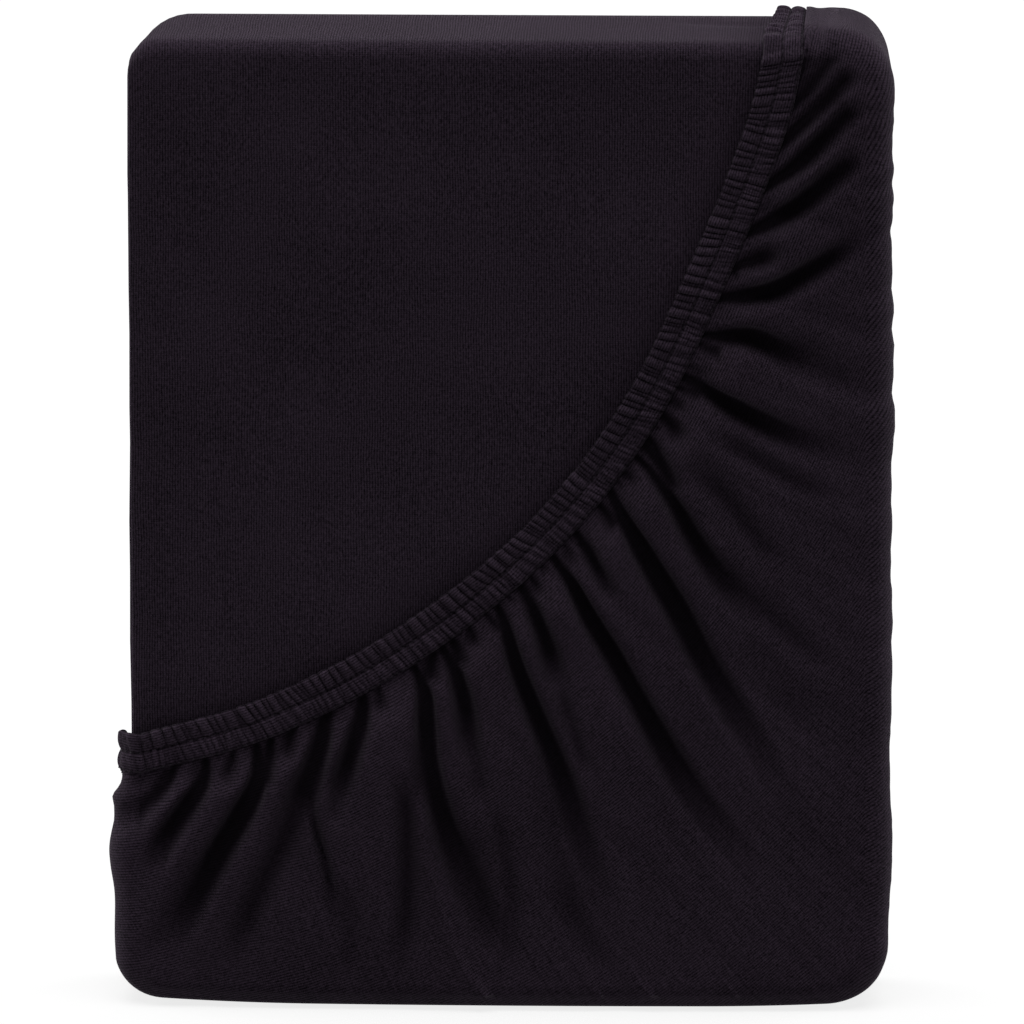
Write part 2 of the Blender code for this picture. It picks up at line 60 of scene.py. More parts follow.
# ---- the pack, in millimetres ----
CLOTH = 1.2              # outer layer: two plies of jersey pressed together
PLY = 0.8                # inner layers
GAP = 0.4                # air between the pack and the corner that is drawn over it
FRONT, BACK = -21.0, 23.0                # outer faces of the front and the back panel
STACK_LEFT, STACK_RIGHT, STACK_TOP = -120.0, 118.4, 313.0
PLIES = 37               # layers between the front and the back panel
WALL_LEFT, WALL_RIGHT = -121.8, 118.8    # inner faces of the corner's side walls
WALL_TOP = STACK_TOP + GAP
FLOOR = CLOTH            # inner face of the corner's foot
CORNER_FOOT_LEFT, CORNER_FOOT_RIGHT, CORNER_TOP = 11.0, 17.0, 14.0
FRONT_EDGE, BACK_EDGE = 4.5, 3.0         # radii of the long edges
TOP_LEFT_FRONT, TOP_LEFT_BACK = 8.0, 19.0    # the open top corner, rounder at the back
ROUNDER = 1.0            # the pack's corners are rounder than the sheet's corner over them
SIDE_EASE, SIDE_PINCH = 8.0, 0.035       # the layers thin out towards the open left side
BELLY_FOOT, BELLY_TOP, BELLY_HALF = 3.6, 0.8, 122.0      # bulge of the front panel
FOOT_LIFT, FOOT_FLAT = 1.6, 62.0         # the foot rises towards its corners, outside its flat
CORNER_FADE = 45.0       # height within which the shaping of the corners fades out
LIP = 0.6                # length over which a layer's edge is rounded
TOP_RISE = 2.4           # the top is higher at the back
TOP_DENTS = (            # dents of the top face: x, y, x, y, height, half width
    (58.0, 9.5, 79.0, 8.0, -0.9, 1.6),
)

# Upper edge of the hem where it crosses the front, from the left edge to the top edge.
HEM_ROUTE = (            # x, z
    (-117.3, 89.4), (-77.6, 101.9), (-35.7, 124.6), (4.8, 157.6),
    (35.7, 197.1), (58.8, 244.6), (75.3, 287.0), (81.0, 308.9),
)
HEM_WIDTH, HEM_TOP_WIDTH = 13.3, 9.5     # on the front, and where it ends behind the top
HEM_TURN = 25.0          # length over which the hem squares up to the pack's edges
HEM_END = 6.0            # length over which the hem flattens into the back panel
HEM_LOW = 0.2            # inner face of the band above the panel
HEM_STAND_OFF, HEM_STAND_WIDTH = 0.9, 3.0    # its upper edge stands off the panel
HEM_SINK, HEM_SINK_REACH = 0.35, 55.0    # the hem runs downwards to the back on the left side
BESIDE_HEM_PAINTED_SHADE, BESIDE_HEM_REACH = 0.4, 6.0    # painted shade: the panel's colour is darker along the hem, within this reach
SCALLOP = 0.6            # the upper edge is drawn in at the clefts
STITCH_ROWS = (6.6, 12.6)                # distance of the sewing from the hem's upper edge

# How the cloth of the skirt runs, from the left edge to the top edge: from a place along the
# hem to a place along the pack's outline, with a bow to the right-hand side.
GUIDES = (               # hem, outline, bow
    (0.0, 0.0, 0.0), (18.8, 43.7, 0.0), (36.0, 73.3, -4.6), (59.3, 133.8, 4.0),
    (89.4, 186.6, 3.4), (119.5, 233.0, 1.5), (142.6, 288.0, 2.0), (166.2, 317.0, 2.5),
    (184.7, 380.0, 2.0), (210.4, 465.3, 2.5), (224.2, 501.5, 0.0), (236.8, 552.1, 5.0),
    (256.7, 578.1, 3.3), (284.0, 606.0, 1.0), (310.0, 624.9, 0.5), (316.5, 634.9, 0.0),
)
# The troughs between the skirt's folds, from the hem outwards: places along the hem and away
# from its upper edge, with half widths.  "depth" is the share of the folds' height that a
# trough takes away, "full" the share of its length over which it does so.
# The same shares also darken the cloth's colour in the troughs and hollows, as painted shade.
TROUGHS = (              # depth, full, places (along, across, half width)
    (0.70, 0.5, ((4.5, 14, 0.4), (1, 17, 0.6), (-4, 21, 0.6))),
    (0.95, 0.65, ((8.5, 12.5, 0.6), (4, 17.5, 1.2), (-1.5, 21, 1.4), (-8, 24, 1.3), (-17, 33, 1))),
    (0.50, 0.4, ((15.5, 14, 0.4), (13, 17.5, 0.6), (10, 21.5, 0.5))),
    (1.00, 0.55, ((18, 12, 0.7), (17, 17, 1.3), (14, 22, 2), (8.5, 26.5, 2.5), (-1.5, 34, 2.2),
                  (-7, 40, 2), (-13.5, 49, 1.8))),
    (0.80, 0.5, ((27, 13.5, 0.4), (25, 17, 1), (22.5, 21, 0.8), (20, 24.5, 0.6))),
    (1.00, 0.65, ((34, 13, 0.8), (33, 18, 1.6), (31, 25, 2.5), (25.5, 32, 3.2), (12.5, 45.5, 3.3),
                  (-3, 60.5, 2.8), (-17.5, 76, 2))),
    (1.00, 0.9, ((38.5, 13.5, 0.9), (36.5, 18, 1.4), (34, 22.5, 1.2), (32, 27, 0.8))),
    (0.90, 0.5, ((47.5, 12, 0.5), (44.5, 14.5, 1.2), (41.5, 19, 1.1), (38, 23, 0.8))),
    (1.00, 0.75, ((59, 12, 1), (55.5, 15.5, 1.8), (51.5, 21.5, 2.4), (44, 30.5, 2.8),
                  (37, 40, 2.4))),
    (1.00, 0.6, ((70, 12, 0.9), (68, 16.5, 1.6), (64, 22, 2.2), (56.5, 30.5, 2), (46.5, 43, 1.6))),
    (0.70, 0.5, ((75, 13.5, 0.5), (73, 18, 0.9), (71, 22.5, 0.7))),
    (1.00, 0.45, ((88, 10.5, 0.7), (87, 17, 1.1), (85.5, 23.5, 2.2), (82, 30.5, 2.6),
                  (76, 44.5, 2.4), (71.5, 63.5, 3), (68.5, 89.5, 3.6), (66, 117.5, 2.4))),
    (1.00, 0.8, ((95.5, 12.5, 0.8), (92, 16.5, 1.3), (88.5, 21, 1.2))),
    (1.00, 0.55, ((98, 13.5, 1), (97.5, 18.5, 1.3), (96.5, 24, 2), (93, 34.5, 2.1),
                  (88.5, 44, 1.6), (85.5, 51, 1.4))),
    (1.00, 0.8, ((102, 13.5, 0.9), (101, 17.5, 1.2), (99, 22, 1.1))),
    (0.90, 0.5, ((108.5, 13.5, 0.4), (107, 17, 0.9), (105.5, 21, 0.7))),
    (0.80, 0.7, ((115, 13.5, 0.4), (115, 17.5, 0.6), (115.5, 21.5, 0.6))),
    (1.00, 0.45, ((119.5, 13, 0.7), (118, 18, 1.3), (116, 23.5, 1.9), (112, 34.5, 2.3),
                  (108.5, 48, 2.4), (103.5, 70, 2.8), (96, 98, 2.6), (89.5, 127, 1.8))),
    (0.60, 0.4, ((124, 13.5, 0.4), (123.5, 16.5, 0.4))),
    (1.00, 0.6, ((129, 13, 1), (127.5, 19, 1.3), (126, 24.5, 1.8), (122.5, 35, 1.9),
                 (117, 49, 1.6))),
    (0.80, 0.5, ((133, 13.5, 0.5), (132, 17, 0.8), (131, 21, 0.6))),
    (0.70, 0.4, ((137.5, 13.5, 0.4), (137, 16.5, 0.4))),
    (1.00, 0.45, ((142, 13, 0.9), (141, 18, 1.1), (140, 25, 1.9), (137, 36.5, 2.5),
                  (134.5, 50.5, 2.6), (131.5, 65, 2.7), (126, 98.5, 3.6), (124, 131.5, 2.8),
                  (124, 146.5, 2.2))),
    (0.60, 0.5, ((147, 13.5, 0.4), (145.5, 17.5, 0.8), (143.5, 22.5, 0.7))),
    (1.00, 0.45, ((152, 13, 0.9), (151, 17, 1.2), (150, 21.5, 1.4), (147, 32, 1), (145, 40, 0.8))),
    (1.00, 0.9, ((163, 13.5, 0.8), (162, 18, 1.1), (161, 23, 1.2))),
    (1.00, 0.42, ((168.5, 13, 1.1), (166.5, 17, 1.4), (164.5, 22, 2), (161, 32.5, 2.8),
                  (157.5, 44, 3.3), (154, 56.5, 3.4), (149.5, 71.5, 3.2), (144, 97.5, 3),
                  (137.5, 135.5, 2))),
    (0.60, 0.4, ((172, 13.5, 0.4), (171.5, 16, 0.4))),
    (0.80, 0.4, ((175.5, 13, 0.9), (175, 16.5, 0.6), (174, 20, 0.4))),
    (1.00, 0.5, ((181.5, 13, 0.8), (180.5, 18.5, 0.9), (179, 23.5, 1.1), (176, 33.5, 1.8),
                 (172, 44, 2.2), (167.5, 60, 2.4), (164, 81, 1.8))),
    (1.00, 0.7, ((187, 13, 2.2), (186, 16, 2.2), (184.5, 19.5, 1.7), (182.5, 24, 1.4),
                 (178.5, 32, 0.8))),
    (0.60, 0.4, ((192.5, 13.5, 0.4), (192.5, 16, 0.4))),
    (1.00, 0.45, ((196.5, 12.5, 1.2), (195.5, 16.5, 1.3), (194, 20.5, 1.4), (192.5, 25, 1.2))),
    (0.80, 0.4, ((201.5, 13, 0.8), (201, 17, 0.6), (200.5, 20, 0.4))),
    (0.90, 0.8, ((206, 13.5, 0.7), (206.5, 17.5, 0.8), (207.5, 21.5, 0.8))),
    (1.00, 0.35, ((209.5, 12.5, 1.3), (209.5, 17, 1.5), (209, 22, 1.9), (208.5, 33, 2.6),
                  (208.5, 47.5, 2.6), (209.5, 67.5, 2), (209, 77.5, 1.8))),
    (0.50, 0.4, ((213.5, 13, 0.6), (213, 18, 0.6), (213.5, 22, 0.5))),
    (0.90, 0.8, ((221, 13.5, 0.8), (220.5, 18, 0.8), (221.5, 21.5, 0.8))),
    (1.00, 0.4, ((224, 13, 0.9), (225, 16.5, 1.4), (226.5, 20, 2.1), (228.5, 24, 2.4),
                 (230, 28.5, 2.8), (230.5, 39.5, 2.6), (234, 56, 2))),
    (1.00, 0.7, ((236, 12, 1.2), (238, 15.5, 1.7), (240.5, 20, 2.2), (247, 28.5, 2.6),
                 (256, 36, 2.2), (268.5, 46, 1.6), (273.5, 50.5, 1.1))),
    (0.80, 0.5, ((246, 13.5, 0.8), (247, 16, 0.6))),
    (0.95, 0.5, ((247.5, 13.5, 0.9), (250, 16, 1.4), (253, 19.5, 1.8), (260, 26, 1.2))),
    (1.00, 0.85, ((258, 12, 1.1), (261.5, 15.5, 1.7), (266, 19.5, 2.2), (276.5, 27, 2.6),
                  (287.5, 33.5, 2.1), (294, 39, 1))),
    (0.50, 0.5, ((265, 12, 0.6), (269, 15.5, 0.7), (273, 18.5, 0.6))),
    (1.00, 0.85, ((273.5, 12.5, 1), (278, 15.5, 1.6), (283, 19, 2), (289.5, 22.5, 2.3),
                  (301, 29.5, 1.6), (307, 33, 1))),
    (1.00, 0.85, ((286, 11, 0.9), (290.5, 14, 1.4), (296, 17, 1.8), (305.5, 23.5, 1.8),
                  (318, 29.5, 1))),
    (1.00, 0.85, ((298, 11, 0.9), (302.5, 14, 1.4), (306.5, 16.5, 1.6), (317.5, 21, 1.2),
                  (322.5, 23.5, 0.9))),
    (0.60, 0.5, ((304.5, 11.5, 0.5), (309, 14, 0.6), (314.5, 16, 0.6))),
    (0.90, 0.75, ((310, 12, 0.8), (315, 13.5, 1.1), (325.5, 16.5, 0.9))),
)
# Wide soft hollows, which fade at both ends; they also darken the cloth's colour as painted shade.
HOLLOWS = (              # depth, half width, places (along, across)
    (0.85, 4.6, ((48.5, 22), (35.5, 41.5), (19.5, 63.5), (-0.5, 87.5))),
    (0.65, 1.8, ((44.5, 28), (41, 40.5), (39, 60.5), (35.5, 81.5))),
    (0.80, 3.4, ((70.5, 36.5), (63.5, 55), (53.5, 80), (41.5, 106.5))),
    (0.50, 2.5, ((78.5, 32), (71.5, 46.5), (66.5, 54))),
    (0.45, 2.5, ((92, 35.5), (89, 44.5), (82, 65.5))),
    (0.45, 2.4, ((55, 31.5), (44, 47.5))),
    (0.45, 2.2, ((119.5, 43), (112, 65.5), (108, 78))),
    (0.50, 3.4, ((191, 27.5), (185.5, 46.5), (177, 76))),
    (0.50, 3.2, ((199, 28.5), (198.5, 79))),
    (0.45, 4.2, ((227.5, 32.5), (230.5, 68.5))),
    (0.35, 3.5, ((42, 64), (37, 86), (33, 98))),
    (0.45, 4.5, ((170, 48.5), (168, 78), (165.5, 108.5))),
    (0.30, 6.0, ((159.5, 73.5), (156.5, 94), (154.5, 120))),
    (0.40, 5.0, ((104.5, 54.5), (97, 74.5), (84.5, 112), (81, 130.5))),
    (0.50, 4.0, ((76.5, 63), (66.5, 110.5))),
    (0.45, 2.6, ((85.5, 62.5), (76.5, 93.5), (63, 121))),
    (0.40, 3.5, ((87, 95), (85, 134.5))),
    (0.40, 3.0, ((10.5, 38.5), (-14, 64.5), (-24.5, 76))),
)
TROUGH_SOFT, TROUGH_SOFT_END = 0.9, 4.5  # reach of a trough's flanks, at the hem and at its end
TROUGH_INSIDE = 0.4      # the flanks begin this share of their reach inside its half width
HOLLOW_START, HOLLOW_STOP = 4.0, 3.0     # full after 1/4 of its length, fading over the last 1/3
CROWN_REACH, CROWN_DROP = 5.0, 0.42      # the folds round off towards the troughs, and get painted shade there
FOLD_HEIGHT, FOLD_HEIGHT_RIM = 6.2, 2.6  # height of the folds near the hem and at the rim
FOLD_SLOPE = 2.0         # how late the folds get lower on their way to the rim
FULL_FOLD_LENGTH = 38.0  # shorter runs of cloth have lower folds
LOWEST_FOLD = 0.25       # share of the full height that the shortest runs keep
FOLD_RISE, HEM_PRESS = 16.5, 0.24   # from the hem, within this length, folds rise from this share
TUCK = 1.5               # how far the skirt reaches up under the hem
TUCK_LOW, TUCK_HIGH = 0.1, 0.5           # its inner and outer face there
HEM_THIN = 0.5           # thickness of the skirt where the hem presses on it
LEAST_LIFT = 0.05        # the skirt stays this far off the pack
PLEAT_HEIGHT, PLEAT_FADE = 0.8, 6.0      # small pleats below the sewing die out in this length
PLEAT_MEAN = 0.35        # share of their height that is taken off, so that they sink in too
PLEAT_START, PLEAT_RISE = 0.2, 2.0       # how far on they are at the sewing, in a rise this long
CREASE_FORM = 1.5        # below 2 a single crease is more pointed than a bell
BAND_BASE, BAND_SWELL, BAND_PUFF = 1.4, 0.4, 2.0   # hem: at the sewing, its fullness, its rolls
CHANNEL_TOP, CHANNEL_FOOT = 1.6, 0.9     # the channels run on past the edge and the last sewing
CLEFT_PAINTED_SHADE, ROLL_PAINTED_HIGHLIGHT = 0.3, 1.9         # painted light in a cleft and on a roll: painted shade below 1, a painted highlight above 1
PIT_PAINTED_SHADE, EDGE_PAINTED_SHADE_WIDTH = 0.5, 0.5         # painted shade at the needle holes, and along the upper edge within this width
SEAM_PUFF = 0.45         # share of the rolls' height that is left at the sewing
ROLLS_CARRIED = 0.5      # share that the upper channel's rolls have in the lower channel
ROLL_FORM, CHANNEL_FORM = 0.55, 0.6      # how round a roll is along the hem and across it
UPPER_PITCH, LOWER_PITCH = 2.5, 1.9      # width of a roll in the upper and the lower channel
ROLL_WIDTHS, ROLL_HEIGHTS = (0.45, 1.6), (0.55, 1.0)     # smallest and largest, as shares
CLEFT_SLANT, CLEFT_WANDER = 0.17, 0.3    # how far the rolls lean along the hem
CLEFT_CHANGE = 0.09      # how fast the lean changes along the hem
SCALLOP_REACH = 2.0      # the edge is drawn in within this width
BAND_EDGE, BAND_LEAST = 0.9, 0.1         # width of its rounded edges, and least share of height
BAND_SUNK = 0.05         # at its ends the band lies this far above the cloth
GATHERED = 1.9           # length of cloth gathered into a length of the hem
STITCH_PITCH, STITCH_UNEVEN = 2.2, (0.8, 1.2)      # the shares are of the pitch
STITCH_GAP = 0.12        # from the needle hole to the end of the stitch
PIT_DEPTH, PIT_ALONG, PIT_ACROSS = 0.45, 0.5, 0.5   # the cloth is drawn in at the needle holes
LEFT_BULGES = (          # the lower left side bags out: height z, half height, how far
    (68.0, 3.0, 1.6), (49.0, 11.0, 2.6),
)
RIGHT_PULL, RIGHT_PULL_LOW = 1.0, 1.3    # the right side is drawn in, and more towards the foot
RIGHT_PULL_FADE = 60.0   # height below which it is drawn in more
SIDE_WAVE, SIDE_WAVE_LENGTH = 0.5, 119.4     # slow waves of the right side
TOP_LOFT, TOP_LOFT_REACH = 0.7, 9.0      # the cloth lies high beside the hem on the top
WALL_EASE = 1.5          # a wall's own shape sets in within this many arcs of the front edge
WALL_FADE = 0.6          # share of a ridge's height that is lost on its way over a wall

# Slow unevenness: height, waves per millimetre in the two directions named, and a seed.
WRINKLE_WAVES = ((1.0, 0.09, 0.014, 3.0), (0.5, 0.22, 0.03, 8.0))    # along the hem, across
WRINKLE = 1.1            # the wrinkles are this many times as high
BAND_WAVES = ((0.35, 0.12, 0.2, 4.0),)                               # along the hem, across
PLY_EDGE_WAVES = ((1.3, 0.9, 0.0, 5.0), (0.9, 0.35, 0.02, 1.0))      # y, z: loose left edges
PANEL_WAVES = ((0.35, 0.018, 0.012, 2.0),)                           # x, z
BACK_SHIFT = 400.0       # the back panel reads its unevenness this far along x
BACK_RISE = 25.0         # and it sets in within this distance of the panel's border
FACING_BACK = 0.9        # a face of the back panel points backwards at least this much

# Single creases of the skirt, seen in the photo's view and drawn downwards: height, half width
# on the left and on the right, share of the height at the upper end, places (x, z).
CREASES = (
    (2.6, 5.0, 1.0, 0.45, ((-28, 61), (-26, 48), (-22.7, 35), (-19.5, 25), (-17, 17.7),
                          (-12.5, 9.8), (-7.4, 2.3), (-3.8, -1.0))),
    (-1.0, 0.8, 0.8, 1.0, ((-62, 58.3), (-61.2, 53.0), (-58.9, 47.5))),
    (0.5, 1.0, 1.0, 1.0, ((-53.4, 44.2), (-50.9, 31.1))),
    (0.5, 1.6, 1.6, 0.4, ((32.6, 18.7), (38.5, 10.5), (47.4, 0.0))),
    (-0.35, 1.2, 1.2, 1.0, ((16.3, 34.1), (7.0, 30.5))),
    (-0.4, 2.2, 2.2, 0.6, ((0.3, 51.0), (1.6, 24.0))),
)
# The photo's view is from above and from the right.  A place read there as (x, z) moves by
# this much to lie on the front face.
VIEW_SHIFT, VIEW_RISE, VIEW_TILT, VIEW_SCALE, VIEW_BELLY = 0.5, 2.8, 0.006, 0.9963, 0.22
# Faint dents of the smooth front panel.
PANEL_DENTS = (          # x, z, x, z, height, half width
    (20.0, 275.0, 39.0, 290.0, -0.35, 3.5),
    (46.0, 264.0, 58.0, 283.0, -0.25, 3.0),
    (-96.0, 150.0, -92.0, 250.0, 0.2, 9.0),
)
DENT_REACH = 3.0         # a dent ends at this many half widths

# ---- how finely the meshes are drawn ----
FOLD_LINE_PITCH = 0.64
SKIRT_STEPS, ARC_STEPS, WALL_STEPS, BACK_STEPS = 48, 4, 7, 2
SKIRT_CROWDING = 0.45    # how much closer together the skirt's rows lie near the hem
BAND_PITCH, BAND_WALL_PITCH = 0.28, 0.6
BAND_ROWS = (0.0, 0.12, 0.4, 0.85, 1.5, 2.3, 3.2, 4.1, 5.0, 5.6, 6.0, 6.3, 6.6, 6.9, 7.2,
             7.7, 8.4, 9.2, 10.1, 11.0, 11.7, 12.15, 12.5, 12.8, 13.1, HEM_WIDTH)
PANEL_COLUMNS, PANEL_ROWS, TOP_ROWS = 58, 50, 12
PANEL_CROWDING = 0.5     # how much closer together its columns lie near its ends
PANEL_INSETS = (1.0, 0.5)                # from its ends to the first and the last column
LIP_STATIONS = (0.0, 0.12, 0.35, 0.65, 1.0)      # shares of the rounded edge's length
LEAST_LIP = 0.12         # share of the thickness squared that is left at the very edge
CLEAR_OF_HEM = 2.0       # the panel's columns end this far before the hem's end on the top
PLY_ROWS = 8
PLY_STEP, PLY_RIGHT = 9, 5               # inner layers: every ninth column, and the last five
TURN_REACH = 3.0         # an inner layer's rows end this far before its next turn
BACK_CELL = 11.0
CURVE_PARTS, HEM_PARTS = 4, 40           # parts of each section of a fold's and of the hem's line
HEM_MARKS, KNIT_MARKS = 60, 90           # parts of the whole hem, to measure from
NEAR = 1.5               # distance over which the direction of a line is read
KNIT_REACH = 150.0       # how far past its ends the hem's line guides the knit
SHARP_ANGLE = 60.0       # edges sharper than this, in degrees, aren't shaded smooth


def clamp(value, low=0.0, high=1.0):
    return max(low, min(high, value))


def smooth(value):
    value = clamp(value)
    return value * value * (3.0 - 2.0 * value)


def blend(a, b, share):
    return a + (b - a) * share


def steps(count):
    """Shares from 0 to 1 in so many equal steps, both ends included."""
    return [n / count for n in range(count + 1)]


def first(row):
    return row[0]


def lookup(table, value, column):
    """A column of a table, read between its rows at a value of the first column."""
    place = bisect.bisect_left(table, value, key=first)
    place = min(max(place, 1), len(table) - 1)
    row, following = table[place - 1], table[place]
    share = clamp((value - row[0]) / (following[0] - row[0]))
    return blend(row[column], following[column], share)


def round_off(distance, radius):
    """How far a quarter circle falls short of its tangent, near the end of an edge."""
    if distance >= radius:
        return 0.0
    reach = radius - max(distance, 0.0)
    return radius - math.sqrt(radius * radius - reach * reach)


def curve(places, parts):
    """A smooth line through places: its points, with so many parts between two places."""
    route = [Vector(place) for place in places]
    route = [2 * route[0] - route[1]] + route + [2 * route[-1] - route[-2]]
    points = []
    for p0, p1, p2, p3 in zip(route, route[1:], route[2:], route[3:]):
        for part in range(parts):
            t = part / parts
            points.append(0.5 * (2 * p1 + (p2 - p0) * t
                                 + (2 * p0 - 5 * p1 + 4 * p2 - p3) * t * t
                                 + (3 * p1 - p0 - 3 * p2 + p3) * t * t * t))
    return points + [route[-2]]


def unevenness(waves, a, b):
    """Sum of slow waves at a place (a, b)."""
    return sum(height * noise.noise(Vector((a * in_a, b * in_b, seed)))
               for height, in_a, in_b, seed in waves)


def quads(cloth, row_a, row_b):
    """Faces between two rows with the same number of points."""
    for a, b, c, d in zip(row_a, row_a[1:], row_b[1:], row_b):
        cloth.face([a, b, c, d])


def dent_height(table, place):
    """Sum of the dents of a table at a place."""
    height = 0.0
    for x, z, end_x, end_z, rise, width in table:
        start, run = Vector((x, z)), Vector((end_x - x, end_z - z))
        share = clamp((place - start).dot(run) / run.length_squared)
        away = (place - start - run * share).length / width
        if away < DENT_REACH:
            height += rise * math.exp(-away * away)
    return height


# ---- the cloth as points and faces ----
class Cloth:
    """A cloth as points with an outer and an inner side, and the faces between them.

    Every point also has its place in the knit, in millimetres, across the knit's lines and
    along them, and its painted light: painted shade down to 0 deep in a fold, 1 on a plain
    stretch, and a painted highlight above 1 on a roll.
    """

    def __init__(self):
        self.outer = []
        self.inner = []
        self.knit = []
        self.open = []
        self.faces = []

    def point(self, place, normal, low, high, knit, openness=1.0):
        self.outer.append(place + normal * high)
        self.inner.append(place + normal * low)
        self.knit.append(knit)
        self.open.append(openness)
        return len(self.outer) - 1

    def face(self, ring):
        ring = [p for i, p in enumerate(ring) if p != ring[i - 1]]
        if len(ring) > 2:
            self.faces.append(ring)

    def stitch(self, row_a, row_b):
        """Faces between two rows, which are dicts of station to point."""
        shared = sorted(row_a.keys() & row_b.keys())
        order_a, order_b = sorted(row_a), sorted(row_b)
        for start, end in zip(shared, shared[1:]):
            side_a = order_a[bisect.bisect_left(order_a, start):bisect.bisect_right(order_a, end)]
            side_b = order_b[bisect.bisect_left(order_b, start):bisect.bisect_right(order_b, end)]
            self.face([row_a[s] for s in side_a] + [row_b[s] for s in reversed(side_b)])

    def rims(self):
        """The edges that only one face uses: the cut edges of the cloth."""
        uses = {}
        for ring in self.faces:
            for a, b in zip(ring, ring[1:] + ring[:1]):
                uses.setdefault(frozenset((a, b)), []).append((a, b))
        return [edges[0] for edges in uses.values() if len(edges) == 1]

    def solid(self):
        """The closed cloth as a bmesh in millimetres, with its places in the knit."""
        count = len(self.outer)
        solid = bmesh.new()
        knit_map = solid.loops.layers.uv.new("knit")
        openness = solid.verts.layers.float.new("open")
        corners = [solid.verts.new(place) for place in self.outer + self.inner]
        for corner, value in zip(corners, self.open + self.open):
            corner[openness] = value
        faces = list(self.faces)
        faces += [[index + count for index in reversed(ring)] for ring in self.faces]
        faces += [[b, a, a + count, b + count] for a, b in self.rims()]
        for ring in faces:
            face = solid.faces.new([corners[index] for index in ring])
            face.smooth = True
            for loop, index in zip(face.loops, ring):
                loop[knit_map].uv = self.knit[index % count]
        bmesh.ops.recalc_face_normals(solid, faces=solid.faces)
        return solid


# ---- the form that all layers share ----
def belly(x, z):
    """How far the front bulges at a place of the front view."""
    across = clamp(1.0 - (x / BELLY_HALF) ** 2)
    return across * blend(BELLY_FOOT, BELLY_TOP, clamp(z / STACK_TOP))


def foot_lift(x, z):
    """How far the foot rises towards its corners, fading upwards."""
    outwards = clamp((abs(x) - FOOT_FLAT) / (WALL_RIGHT - FOOT_FLAT))
    return FOOT_LIFT * outwards ** 2 * clamp(1.0 - z / CORNER_FADE)


def top_rise(y, z):
    """How far the pack's top rises towards the back, fading downwards."""
    to_back = clamp((y - FRONT) / (BACK - FRONT))
    return TOP_RISE * to_back * clamp((z - STACK_TOP + CORNER_FADE) / CORNER_FADE)


def lifted(place):
    rise = foot_lift(place.x, place.z) + top_rise(place.y, place.z)
    return Vector((place.x, place.y, place.z + rise))


# ---- the hem's line ----
def hem_line():
    """The hem's upper edge as (length, x, z) rows, a smooth curve through its route."""
    points = curve(HEM_ROUTE, HEM_PARTS)
    rows = [(0.0, points[0].x, points[0].y)]
    for before, point in zip(points, points[1:]):
        rows.append((rows[-1][0] + (point - before).length, point.x, point.y))
    return rows


HEM_LINE = hem_line()
HEM_LENGTH = HEM_LINE[-1][0]


def hem_place(along):
    return Vector((lookup(HEM_LINE, along, 1), lookup(HEM_LINE, along, 2)))


def hem_across(along):
    """Direction across the hem, towards the skirt.  At both ends it follows the edges."""
    ahead = hem_place(along + NEAR) - hem_place(along - NEAR)
    square = Vector((ahead.y, -ahead.x)).normalized()
    at_left = smooth(1.0 - along / HEM_TURN)
    at_top = smooth(1.0 - (HEM_LENGTH - along) / HEM_TURN)
    turned = square * (1.0 - at_left - at_top) + Vector((0, -1)) * at_left
    return (turned + Vector((1, 0)) * at_top).normalized()


def hem_point(along, across):
    """A place of the hem band in the front view, as (x, z)."""
    return hem_place(along) + hem_across(along) * across


def beside_hem(along, across):
    """A place square to the hem's line, which runs straight on past its ends."""
    inside = clamp(along, NEAR, HEM_LENGTH - NEAR)
    ahead = (hem_place(inside + NEAR) - hem_place(inside - NEAR)).normalized()
    return hem_place(inside) + ahead * (along - inside) + Vector((ahead.y, -ahead.x)) * across


def from_view(x, z):
    """The place on the front face that the photo's view shows at (x, z)."""
    rise = VIEW_RISE + VIEW_TILT * x + VIEW_BELLY * belly(x, z)
    return Vector((x + VIEW_SHIFT, VIEW_SCALE * z + rise))


# ---- the outline of the corner ----
HEM_FOOT = HEM_ROUTE[0][1] - HEM_WIDTH               # height where the outline starts
HEM_CROSSING = HEM_ROUTE[-1][0] + HEM_WIDTH          # place on the top where it ends


def outline_runs():
    """Straight runs and arcs of the outline: length, start or centre, direction, radius."""
    left_run = HEM_FOOT - FLOOR - CORNER_FOOT_LEFT
    foot_run = WALL_RIGHT - WALL_LEFT - CORNER_FOOT_LEFT - CORNER_FOOT_RIGHT
    right_run = WALL_TOP - FLOOR - CORNER_FOOT_RIGHT - CORNER_TOP
    top_run = WALL_RIGHT - CORNER_TOP - HEM_CROSSING
    quarter = math.pi / 2
    return (
        (left_run, (WALL_LEFT, HEM_FOOT), 180.0, 0.0),
        (CORNER_FOOT_LEFT * quarter, (WALL_LEFT + CORNER_FOOT_LEFT, FLOOR + CORNER_FOOT_LEFT),
         180.0, CORNER_FOOT_LEFT),
        (foot_run, (WALL_LEFT + CORNER_FOOT_LEFT, FLOOR), 270.0, 0.0),
        (CORNER_FOOT_RIGHT * quarter,
         (WALL_RIGHT - CORNER_FOOT_RIGHT, FLOOR + CORNER_FOOT_RIGHT), 270.0, CORNER_FOOT_RIGHT),
        (right_run, (WALL_RIGHT, FLOOR + CORNER_FOOT_RIGHT), 0.0, 0.0),
        (CORNER_TOP * quarter, (WALL_RIGHT - CORNER_TOP, WALL_TOP - CORNER_TOP), 0.0, CORNER_TOP),
        (top_run, (WALL_RIGHT - CORNER_TOP, WALL_TOP), 90.0, 0.0),
    )


OUTLINE = outline_runs()
OUTLINE_LENGTH = sum(run[0] for run in OUTLINE)


